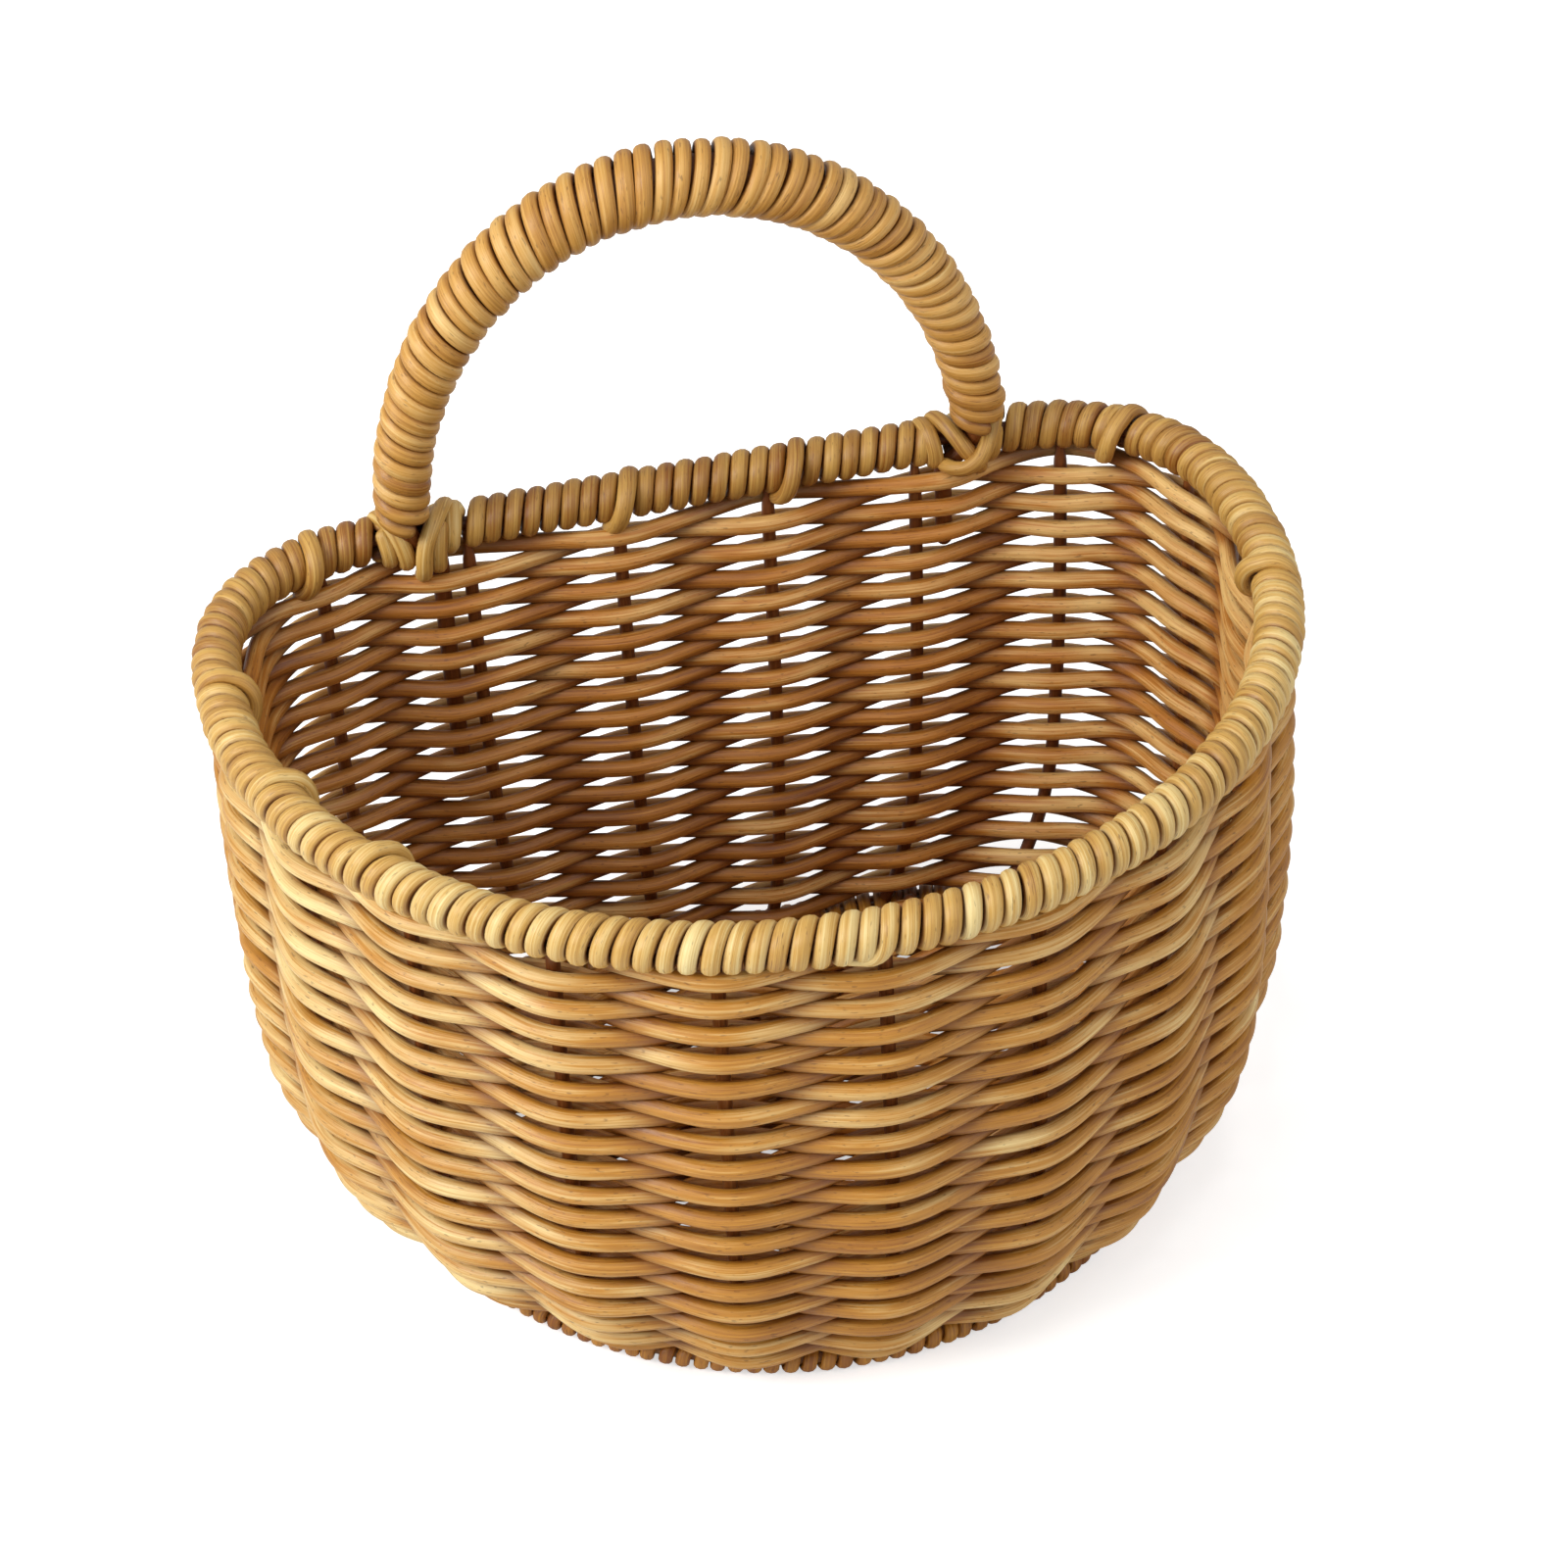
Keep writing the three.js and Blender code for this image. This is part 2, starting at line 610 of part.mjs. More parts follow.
function floorCane() {
  const up = new THREE.Vector3(0, 0, 1);
  const reach = 2 * floorCaneRadius;
  const rings = [];
  const place = (x, y, lift, aside) => {
    rings.push(ring(new THREE.Vector3(x, y, floorMiddle + lift), up, aside, floorCaneRadius, caneSides));
  };
  const rear = floorRear(0, floorPitch) - reach;
  const passY = (pass) => rear - pass * floorPitch;
  const room = floorStickRadius + clearance + reach;
  const side = (pass) => floorSide(passY(pass), floorCaneRadius);
  const edgeAfter = (pass) => {
    const edge = Math.min(side(pass), side(pass + 1)) - reach;
    const stick = stickPlaces.find((x) => Math.abs(x - edge) < room);
    return stick === undefined ? edge : stick - room;
  };
  let passes = 1;
  while (edgeAfter(passes) > floorStickGap / 2) passes++;
  for (let pass = 0; pass < passes; pass++) {
    const y = passY(pass);
    const way = pass % 2 === 0 ? 1 : -1;
    const aside = new THREE.Vector3(0, -way, 0);
    const intoTurn = new THREE.Vector3(-1, -way, 0);
    const from = pass === 0 ? edgeAfter(0) : edgeAfter(pass - 1);
    const to = pass === passes - 1 ? from : edgeAfter(pass);
    const crossed = stickPlaces.filter((x) => way * x > -from && way * x < to);
    place(-way * from, y, 0, pass === 0 ? aside : intoTurn);
    for (const x of way > 0 ? crossed : crossed.reverse()) {
      place(x, y, (stickPlaces.indexOf(x) + pass) % 2 === 0 ? floorWave : -floorWave, aside);
    }
    place(way * to, y, 0, pass === passes - 1 ? aside : intoTurn);
  }
  return ringBody(rings, false);
}
add("floor_cane", floorCane(), colours.weave);

export default basket;
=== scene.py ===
import math

import bpy
import numpy as np
from mathutils import Matrix, Vector


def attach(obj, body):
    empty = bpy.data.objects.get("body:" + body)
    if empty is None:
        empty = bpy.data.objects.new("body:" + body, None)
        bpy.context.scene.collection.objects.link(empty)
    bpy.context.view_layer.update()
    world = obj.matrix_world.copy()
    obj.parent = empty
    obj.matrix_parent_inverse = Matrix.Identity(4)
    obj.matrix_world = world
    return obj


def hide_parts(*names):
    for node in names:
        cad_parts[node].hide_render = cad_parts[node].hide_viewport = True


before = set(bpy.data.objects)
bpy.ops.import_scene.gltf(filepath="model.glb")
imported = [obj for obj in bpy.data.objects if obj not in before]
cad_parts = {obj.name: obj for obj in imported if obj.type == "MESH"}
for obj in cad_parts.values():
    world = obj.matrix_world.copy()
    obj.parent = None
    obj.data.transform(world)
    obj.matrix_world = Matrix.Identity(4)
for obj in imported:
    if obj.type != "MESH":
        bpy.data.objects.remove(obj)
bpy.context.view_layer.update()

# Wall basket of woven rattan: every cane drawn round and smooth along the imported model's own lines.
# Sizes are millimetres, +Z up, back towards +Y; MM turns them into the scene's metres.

MM = 0.001
BODY = "root"

# Outer sizes of the rim band and the height of its centre line
OVERALL_WIDTH = 300
OVERALL_DEPTH = 220
RIM_HEIGHT = 169
RIM_RADIUS = 6.92

# The D of the rim, and how far the D of the lowest row is drawn in from it
RIM_CORNER_WIDTH = 64
RIM_WIDEST_BEHIND = 66
CORNER_POWER = 2.6
SIDE_DRAW_IN = 22.8
FRONT_DRAW_IN = 19.5
BASE_CORNER_WIDTH = 85
BASE_WIDEST_BEHIND = 50
BELLY_POWER = 6.6

# Stakes and rows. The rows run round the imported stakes' radius, and the drawn stakes are a little thicker.
STAKES_PER_SIDE = 9
STAKE_RADIUS = 1.75
STAKE_DRAWN_RADIUS = 1.95
STAKE_TIP_RADIUS = 1.2
STAKE_INSET = 2.2
WEAVER_RADIUS = 2.58
ROW_HALF_HEIGHT = 4.209
ROW_TO_RIM_GAP = 0.35
# The rows at whose heights the wall bends
BEND_ROWS = [0, 1, 2, 4, 7]

# Rim: a hoop under flattened turns
RIM_CORE_RADIUS = 1.9
RIM_CANE_WIDTH = 2.56
RIM_CANE_FLATNESS = 0.84
RIM_LEAN = 1.0
RIM_TURNS_PER_GAP = 8

# Handle: a hoop on two legs, whose core ends in pegs pushed down the weave beside a stake
HANDLE_HALF_SPAN = 82.3
HANDLE_Y = 96.73
ARCH_BASE = 176
ARCH_RISE = 95.2
CROWN_LEAN = 2.6
LEG_RADIUS = 8
CROWN_RADIUS = 10.75
CROWN_POWER = 1.5
HANDLE_CANE_WIDTH = 2.45
HANDLE_CANE_FLATNESS = 0.82
HANDLE_LEAN = 0.5
HANDLE_STARTS = 2
HANDLE_TURNS = 28
HANDLE_WRAP_START = 2
LEG_PLACE = 79
LEG_Y = 98.7
PEG_RADIUS = 2.5
PEG_GAP = 4
LEFT_PEG_LENGTH = 80
RIGHT_PEG_LENGTH = 32

# Foot and floor
FOOT_HEIGHT = 8
FOOT_WIDTH = 13.8
FOOT_INSET = 6.3
FOOT_GAP = 1
FOOT_CANE_WIDTH = 2.02
FOOT_CANE_FLATNESS = 0.7
FOOT_TURNS = 142
FLOOR_MIDDLE = 7.9
FLOOR_STICK_RADIUS = 2.2
FLOOR_CANE_RADIUS = 2.25
FLOOR_PASS_PITCH = 4.5
FLOOR_STICK_GAP = 29.4
FLOOR_STICKS_PER_SIDE = 2
STICK_TUCK = 3

# Counts
STAKE_COUNT = 2 * STAKES_PER_SIDE + 1
OUTLINE_STEPS = 160
TUBE_SIDES = 12
TURN_STEPS = 26

# Wound canes are a little squarer than round ones
WOUND_SQUARENESS = 0.9

# Seeds of the pieces' own random draws; pieces of a kind count up from theirs
SEEDS = {
    "rim_hoop": 7, "handle_hoop": 9, "foot": 11, "floor_cane": 13, "floor_sticks": 21,
    "rows": 100, "stakes": 300, "rim": 500, "lashings": 601, "handle": 700,
}

FULL_TURN = 2 * math.pi
# Keeps a direction from being zero
TINY = 1e-6
# How far along an outline, as a share of it, its direction is measured
PROBE_SHARE = 0.002
BACKWARDS = np.array([0.0, 1.0, 0.0])
UPWARDS = np.array([0.0, 0.0, 1.0])
rim_half_width = OVERALL_WIDTH / 2 - RIM_RADIUS
rim_half_depth = OVERALL_DEPTH / 2 - RIM_RADIUS
base_half_width = rim_half_width - SIDE_DRAW_IN
base_front = FRONT_DRAW_IN - rim_half_depth


def nodes_named(start):
    return sorted(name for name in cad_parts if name.startswith(start))


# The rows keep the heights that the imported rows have
row_nodes = nodes_named("weave_row")
foot_top = FOOT_HEIGHT + FOOT_GAP
first_row = foot_top + ROW_HALF_HEIGHT
last_row = RIM_HEIGHT - RIM_RADIUS - ROW_TO_RIM_GAP - ROW_HALF_HEIGHT
row_pitch = (last_row - first_row) / (len(row_nodes) - 1)


def row_height(row):
    return first_row + row * row_pitch


def unit(vectors):
    return vectors / np.linalg.norm(vectors, axis=-1, keepdims=True)


def smooth_step(low, high, value):
    t = np.clip((value - low) / (high - low), 0, 1)
    return t * t * (3 - 2 * t)


def bowed(value, power):
    return np.sign(value) * np.abs(value) ** power


def running_lengths(points):
    steps = np.linalg.norm(np.diff(points, axis=0), axis=1)
    return np.concatenate([[0], np.cumsum(steps)])


# Lines: the D's outlines, the wall between them, and smooth curves through a few values
def d_outline(half, flat, back, widest, front):
    """Closed D seen from above, from the middle of its back round by the left: points and running lengths."""
    angle = np.linspace(0, math.pi / 2, OUTLINE_STEPS + 1)
    power = 2 / CORNER_POWER
    corner = np.column_stack([
        flat + (half - flat) * np.sin(angle) ** power,
        widest + (back - widest) * np.maximum(np.cos(angle), 0) ** power,
    ])
    bow = np.column_stack([half * np.cos(angle[1:]), widest - (widest - front) * np.sin(angle[1:])])
    side = np.vstack([[[0, back]], corner, bow])
    points = np.vstack([side * [-1, 1], side[-2::-1]])
    return points, running_lengths(points)


def on_outline(outline, share):
    points, lengths = outline
    length = np.mod(share, 1) * lengths[-1]
    return np.column_stack([np.interp(length, lengths, points[:, k]) for k in range(2)])


def chord(outline, share):
    return unit(on_outline(outline, share + PROBE_SHARE) - on_outline(outline, share - PROBE_SHARE))


def inset_outline(outline, inset):
    lengths = outline[1]
    share = lengths / lengths[-1]
    along = chord(outline, share)
    inwards = np.column_stack([-along[:, 1], along[:, 0]])
    return on_outline(outline, share) + inset * inwards, lengths


rim_outline = d_outline(
    rim_half_width,
    rim_half_width - RIM_CORNER_WIDTH,
    rim_half_depth,
    rim_half_depth - RIM_WIDEST_BEHIND,
    -rim_half_depth,
)
rim_perimeter = rim_outline[1][-1]


def wall_outline(z):
    drawn_in = ((RIM_HEIGHT - z) / (RIM_HEIGHT - first_row)) ** BELLY_POWER

    def blend(top, base):
        return top + (base - top) * drawn_in

    return d_outline(
        blend(rim_half_width - STAKE_INSET, base_half_width),
        blend(rim_half_width - RIM_CORNER_WIDTH, base_half_width - BASE_CORNER_WIDTH),
        blend(rim_half_depth - STAKE_INSET, rim_half_depth),
        blend(rim_half_depth - RIM_WIDEST_BEHIND, rim_half_depth - BASE_WIDEST_BEHIND),
        blend(STAKE_INSET - rim_half_depth, base_front),
    )


foot_outline = d_outline(
    base_half_width - FOOT_INSET,
    base_half_width - BASE_CORNER_WIDTH,
    rim_half_depth,
    rim_half_depth - BASE_WIDEST_BEHIND,
    base_front + FOOT_INSET,
)
top_outline = inset_outline(rim_outline, STAKE_INSET)
bend_heights = [row_height(row) for row in BEND_ROWS]
wall_heights = np.array([0, foot_top] + bend_heights + [last_row, RIM_HEIGHT])
wall_outlines = [foot_outline] * 2 + [wall_outline(z) for z in bend_heights] + [top_outline] * 2


def curve_slopes(xs, ys):
    """Slopes of a smooth curve through points, from those of the two spans at each."""
    step = np.diff(xs).reshape((-1,) + (1,) * (ys.ndim - 1))
    slope = np.diff(ys, axis=0) / step
    inner = (slope[:-1] * step[1:] + slope[1:] * step[:-1]) / (step[1:] + step[:-1])
    return np.concatenate([slope[:1], inner, slope[-1:]])


def hermite(t, h, start, start_slope, end, end_slope):
    return (
        (2 * t**3 - 3 * t**2 + 1) * start
        + (t**3 - 2 * t**2 + t) * h * start_slope
        + (3 * t**2 - 2 * t**3) * end
        + (t**3 - t**2) * h * end_slope
    )


def curve_through(x, xs, ys, period=None):
    """Smooth curve through the values ys at xs, closed when it has a period."""
    xs = np.asarray(xs, float)
    ys = np.asarray(ys, float)
    if period is not None:
        xs = np.concatenate([xs[-2:] - period, xs, xs[:2] + period])
        ys = np.concatenate([ys[-2:], ys, ys[:2]])
    slopes = curve_slopes(xs, ys)
    i = np.clip(np.searchsorted(xs, x) - 1, 0, len(xs) - 2)
    h = (xs[i + 1] - xs[i]).reshape((-1,) + (1,) * (ys.ndim - 1))
    t = (x - xs[i]).reshape(h.shape) / h
    return hermite(t, h, ys[i], slopes[i], ys[i + 1], slopes[i + 1])


def wall_point(share, z):
    """Point on the stakes' own surface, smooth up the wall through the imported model's levels."""
    share, z = np.broadcast_arrays(np.asarray(share, float), np.asarray(z, float))
    levels = np.array([on_outline(outline, share) for outline in wall_outlines])
    slopes = curve_slopes(wall_heights, levels)
    i = np.clip(np.searchsorted(wall_heights, z) - 1, 0, len(wall_heights) - 2)
    column = np.arange(len(z))
    h = (wall_heights[i + 1] - wall_heights[i])[:, None]
    t = (z - wall_heights[i])[:, None] / h
    below = levels[i, column], slopes[i, column]
    above = levels[i + 1, column], slopes[i + 1, column]
    return np.column_stack([hermite(t, h, *below, *above), z])


def wall_frame(share, z):
    """Point, direction along the row, outwards and up the wall."""
    point = wall_point(share, z)
    along = unit(wall_point(share + PROBE_SHARE, z) - wall_point(share - PROBE_SHARE, z))
    slope = wall_point(share, z + 1) - wall_point(share, z - 1)
    out = unit(np.cross(along, slope))
    return point, along, out, np.cross(out, along)


def level_frame(outline, share, z):
    """The same for a level outline, where outwards is level and up is upright."""
    flat = on_outline(outline, share)
    direction = chord(outline, share)
    point = np.column_stack([flat, np.full(len(flat), float(z))])
    along = np.column_stack([direction, np.zeros(len(direction))])
    up = np.tile(UPWARDS, (len(flat), 1))
    return point, along, np.cross(along, up), up


# Unevenness: waves of several lengths added up, or a value for every turn
DRIFT_OCTAVES = 4
DRIFT_WAVES_SPREAD = (0.7, 1.3)
DRIFT_FALL = 0.7
DRIFT_SUM = 1.6


def drift(rng, x, period, wavelength, size):
    """Slow seeded wandering of about the given size, the same again after one period."""
    total = np.zeros(len(x))
    for octave in range(1, DRIFT_OCTAVES + 1):
        waves = max(round(period / wavelength * octave * rng.uniform(*DRIFT_WAVES_SPREAD)), 1)
        phase = rng.uniform(0, FULL_TURN)
        total += np.sin(FULL_TURN * waves * x / period + phase) / octave**DRIFT_FALL
    return size * total / DRIFT_SUM


def uneven(rng, at, whole, spread, middle=0.0, period=None):
    """A seeded value for every whole turn, smooth between them."""
    return curve_through(at, whole, rng.normal(middle, spread, len(whole)), period)


# Canes as meshes: rings along a line, with the cane's own coordinates kept for its grain
END_ANGLES = np.radians([30, 55, 75])
# Each cane starts somewhere in a grain of this length
GRAIN_LENGTH = 3000


def rounded_ends(centres, radii, guide):
    """Adds a few shrinking rings to both ends of an open cane."""
    ahead = unit(centres[-1] - centres[-2])
    behind = unit(centres[0] - centres[1])
    grow = np.sin(END_ANGLES)[:, None]
    shrink = np.cos(END_ANGLES)
    centres = np.vstack([
        (centres[0] + radii[0] * grow * behind)[::-1], centres, centres[-1] + radii[-1] * grow * ahead,
    ])
    count = len(END_ANGLES)
    guide = np.vstack([np.repeat(guide[:1], count, axis=0), guide, np.repeat(guide[-1:], count, axis=0)])
    radii = np.concatenate([radii[0] * shrink[::-1], radii, radii[-1] * shrink])
    return centres, radii, guide


class Canes:
    """One mesh of several canes, with the attributes that their material reads."""

    def __init__(self, name, seed):
        self.name = name
        self.rng = np.random.default_rng(seed)
        self.positions = []
        self.faces = []
        self.cane = []
        self.depth = []
        self.tone = []
        self.count = 0

    def add(self, centres, width, guide, depth, tone=0.0, closed=False,
            sides=TUBE_SIDES, flatness=1.0, squareness=1.0):
        """width is the half width across the guide, and flatness the share of it that the cane has along
        the guide. A squareness below 1 fills the section's corners. depth gives the rings' points 1 on the
        outermost skin, 0 where they are buried and less than 0 inside the basket; the material paints shade
        from it, a brown crevice colour, partly stain, near 0 and darker inner tones below 0."""
        radii = np.broadcast_to(np.asarray(width, float), len(centres)).copy()
        plain_count = len(centres)
        if not closed:
            centres, radii, guide = rounded_ends(centres, radii, guide)
            tangent = unit(np.gradient(centres, axis=0))
        else:
            tangent = unit(np.roll(centres, -1, axis=0) - np.roll(centres, 1, axis=0))
        ring_count = len(centres)
        first = unit(guide - np.sum(guide * tangent, axis=1, keepdims=True) * tangent)
        second = np.cross(tangent, first)
        angle = np.arange(sides) / sides * FULL_TURN
        high = flatness * bowed(np.cos(angle), squareness)
        wide = bowed(np.sin(angle), squareness)
        spokes = high[None, :, None] * first[:, None] + wide[None, :, None] * second[:, None]
        rings = centres[:, None] + radii[:, None, None] * spokes
        length = running_lengths(centres) + self.rng.uniform(0, GRAIN_LENGTH)
        cane = np.empty((ring_count, sides, 3))
        cane[..., 0] = radii[:, None] * high
        cane[..., 1] = radii[:, None] * wide
        cane[..., 2] = length[:, None]
        # The ring of the plain line that each ring, a rounded end's too, takes its values from
        source = np.clip(np.arange(ring_count) - (ring_count - plain_count) // 2, 0, plain_count - 1)
        tones = np.broadcast_to(np.asarray(tone, float), plain_count)[source]
        self.positions.append(rings.reshape(-1, 3) * MM)
        self.cane.append(cane.reshape(-1, 3) * MM)
        self.depth.append(depth(rings, source).reshape(-1))
        self.tone.append(np.repeat(tones, sides))
        self.join_rings(ring_count, sides, closed)

    def join_rings(self, ring_count, sides, closed):
        i = np.arange(ring_count if closed else ring_count - 1)[:, None]
        j = np.arange(sides)[None, :]
        near = self.count + i * sides
        far = self.count + ((i + 1) % ring_count) * sides
        after = (j + 1) % sides
        quads = np.stack([near + j, near + after, far + after, far + j], axis=-1).reshape(-1, 4)
        self.faces.extend(quads.tolist())
        if not closed:
            last = self.count + (ring_count - 1) * sides
            self.faces.append([self.count + k for k in range(sides)][::-1])
            self.faces.append([last + k for k in range(sides)])
        self.count += ring_count * sides

    def build(self, material, slot, *nodes):
        mesh = bpy.data.meshes.new(self.name)
        mesh.from_pydata(np.vstack(self.positions).tolist(), [], self.faces)
        mesh.polygons.foreach_set("use_smooth", [True] * len(mesh.polygons))
        cane = mesh.attributes.new("cane", "FLOAT_VECTOR", "POINT")
        cane.data.foreach_set("vector", np.vstack(self.cane).ravel())
        for name, values in (("depth", self.depth), ("tone", self.tone)):
            attribute = mesh.attributes.new(name, "FLOAT", "POINT")
            attribute.data.foreach_set("value", np.concatenate(values))
        mesh.materials.append(material)
        mesh.update()
        piece = bpy.data.objects.new(self.name, mesh)
        bpy.context.scene.collection.objects.link(piece)
        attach(piece, BODY)
        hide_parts(*nodes)


def even_depth(value):
    return lambda rings, source: np.full(rings.shape[:2], float(value))


def wound_depth(point, along, inner, outer):
    """Depth of a winding: 0 at its core and 1 at its outermost skin."""
    inner, outer = (np.broadcast_to(np.asarray(value, float), len(point)) for value in (inner, outer))

    def depth(rings, source):
        offset = rings - point[source][:, None]
        axis = along[source][:, None]
        offset = offset - np.sum(offset * axis, axis=-1, keepdims=True) * axis
        low = inner[source][:, None]
        return np.clip((np.linalg.norm(offset, axis=-1) - low) / (outer[source][:, None] - low), 0, 1)

    return depth


# Rattan: lengthwise fibres, slow changes of tone and dark specks, with painted shade: a brown crevice colour
# between canes, partly stain and partly shade, and darker, redder inner tones inside the basket
class Graph:
    """A material's node tree, built one line at a time."""

    def __init__(self, name):
        self.material = bpy.data.materials.new(name)
        self.material.use_nodes = True
        self.tree = self.material.node_tree
        self.shader = self.tree.nodes["Principled BSDF"]

    def node(self, kind, inputs=None, **settings):
        node = self.tree.nodes.new(kind)
        for key, value in settings.items():
            setattr(node, key, value)
        for key, value in (inputs or {}).items():
            if isinstance(value, bpy.types.NodeSocket):
                self.tree.links.new(value, node.inputs[key])
            else:
                node.inputs[key].default_value = value
        return node

    def math(self, operation, a, b=0.0, c=0.0, clamp=False):
        inputs = {0: a, 1: b, 2: c}
        return self.node("ShaderNodeMath", inputs, operation=operation, use_clamp=clamp).outputs[0]

    def attribute(self, name, output):
        return self.node("ShaderNodeAttribute", attribute_name=name).outputs[output]

    def noise(self, vector, across, along, detail, rough):
        scales = (across, across, along)
        stretched = self.node("ShaderNodeVectorMath", {0: vector, 1: scales}, operation="MULTIPLY").outputs[0]
        inputs = {"Vector": stretched, "Scale": 1.0, "Detail": detail, "Roughness": rough}
        return self.node("ShaderNodeTexNoise", inputs).outputs["Fac"]

    def centred(self, value, size):
        """A noise of 0 to 1 turned into one about zero."""
        return self.math("MULTIPLY_ADD", value, size, -size / 2)

    def remap(self, value, low, high, to_low=0.0, to_high=1.0, kind="LINEAR"):
        inputs = {"Value": value, "From Min": low, "From Max": high, "To Min": to_low, "To Max": to_high}
        return self.node("ShaderNodeMapRange", inputs, interpolation_type=kind).outputs["Result"]

    def ramp(self, value, stops):
        node = self.node("ShaderNodeValToRGB", {"Fac": value})
        elements = node.color_ramp.elements
        while len(elements) < len(stops):
            elements.new(0.5)
        for element, (position, colour) in zip(elements, stops):
            element.position = position
            element.color = (*colour, 1)
        return node.outputs["Color"]

    def mix(self, factor, a, b):
        inputs = {0: factor, 6: a, 7: b}
        return self.node("ShaderNodeMix", inputs, data_type="RGBA", blend_type="MIX").outputs[2]


def linear(red, green, blue):
    """Scene colour of a colour given as it looks on a screen, 0 to 255."""
    shares = [value / 255 for value in (red, green, blue)]
    return tuple(s / 12.92 if s <= 0.04045 else ((s + 0.055) / 1.055) ** 2.4 for s in shares)


# Noises of the skin: scale across and along the cane, per metre, then detail and roughness
FIBRE = (4200, 60, 3.0, 0.6)
STRAND = (1500, 25, 2.0, 0.5)
STREAK = (700, 65, 2.0, 0.55)
PATCH = (110, 34, 2.0, 0.5)
SPECK = (1900, 420, 1.0, 0.4)
PIT = (700, 240, 2.0, 0.6)

# How much of the tone each noise and the cane's own tone make, and how high they stand in the bump
FIBRE_TONE = 0.6
STRAND_TONE = 0.8
STREAK_TONE = 0.45
PATCH_TONE = 0.8
CANE_TONE = 0.3
FIBRE_HEIGHT = 0.5
STRAND_HEIGHT = 0.6
PIT_HEIGHT = 0.5
BUMP_STRENGTH = 0.85
BUMP_DISTANCE = 0.0003

# Depths between which the skin turns to the inner tones, darker and redder as painted shade inside the
# basket, and noise between which specks set in
SHADED_INNER_DEPTHS = (0.1, -0.35)
SPECK_LEVELS = (0.66, 0.74)
SPECK_STRENGTH = 0.5
SPECK_COLOUR = (*linear(92, 50, 16), 1)
# A brown crevice colour between canes: partly stain, partly painted shade
CREVICE_STAIN_AND_SHADE_COLOUR = (*linear(104, 44, 2), 1)

# Gloss: roughness from the hollows to the ridges of a strand
STRAND_LEVELS = (0.3, 0.7)
STRAND_ROUGHNESS = (0.35, 0.54)
SPECULAR_LEVEL = 0.6


def rattan(name, outer, inner, stain_and_shade):
    """outer and inner hold the dark, middle and pale tones of the skin outside and inside the basket; the
    inner tones are darker and redder as painted shade.
    The last argument holds the depths where the brown crevice colour, partly stain and partly painted shade
    where the canes meet, begins and is full, and its strength."""
    g = Graph(name)
    cane = g.attribute("cane", "Vector")
    depth = g.attribute("depth", "Fac")
    tone = g.attribute("tone", "Fac")
    fibre, strand, streak, patch, speck, pit = (
        g.noise(cane, *layer) for layer in (FIBRE, STRAND, STREAK, PATCH, SPECK, PIT)
    )

    value = g.math("ADD", g.centred(fibre, FIBRE_TONE), g.centred(strand, STRAND_TONE))
    value = g.math("ADD", value, g.centred(streak, STREAK_TONE))
    value = g.math("ADD", value, g.centred(patch, PATCH_TONE))
    value = g.math("ADD", value, g.math("MULTIPLY_ADD", tone, CANE_TONE, 0.5), clamp=True)
    outside, shaded_inside = (g.ramp(value, list(zip((0.0, 0.5, 1.0), tones))) for tones in (outer, inner))
    # Painted shade: the skin turns to the darker, redder inner tones where it faces the inside of the basket
    colour = g.mix(g.remap(depth, *SHADED_INNER_DEPTHS, kind="SMOOTHSTEP"), outside, shaded_inside)
    # Painted shade, partly stain: a brown crevice colour where the canes meet, cross and lie buried
    buried = g.math("ABSOLUTE", depth)
    begins, full, strength = stain_and_shade
    stain_and_shade_share = g.remap(buried, begins, full, 0.0, strength, kind="SMOOTHSTEP")
    colour = g.mix(stain_and_shade_share, colour, CREVICE_STAIN_AND_SHADE_COLOUR)
    colour = g.mix(g.remap(speck, *SPECK_LEVELS, 0.0, SPECK_STRENGTH), colour, SPECK_COLOUR)
    g.tree.links.new(colour, g.shader.inputs["Base Color"])

    rough = g.remap(strand, *STRAND_LEVELS, *STRAND_ROUGHNESS)
    g.tree.links.new(rough, g.shader.inputs["Roughness"])
    height = g.math("MULTIPLY_ADD", strand, STRAND_HEIGHT, g.math("MULTIPLY", fibre, FIBRE_HEIGHT))
    height = g.math("MULTIPLY_ADD", pit, PIT_HEIGHT, height)
    inputs = {"Strength": BUMP_STRENGTH, "Distance": BUMP_DISTANCE, "Height": height}
    bump = g.node("ShaderNodeBump", inputs)
    g.tree.links.new(bump.outputs["Normal"], g.shader.inputs["Normal"])
    g.shader.inputs["Specular IOR Level"].default_value = SPECULAR_LEVEL
    return g.material


# Dark, middle and pale tones
# The inner tones are the outer ones darkened and reddened: painted shade and painted bounce light inside the
# basket
SHADED_INNER_TONES = (linear(118, 60, 6), linear(186, 120, 42), linear(232, 194, 124))
RIM_TONES = (linear(140, 84, 20), linear(204, 160, 80), linear(242, 224, 162))
WEAVE_TONES = (linear(140, 80, 16), linear(194, 135, 46), linear(238, 212, 148))
HANDLE_TONES = (linear(142, 82, 18), linear(204, 151, 70), linear(238, 202, 132))
STAKE_TONES = (linear(84, 40, 10), linear(122, 66, 22), linear(160, 100, 46))
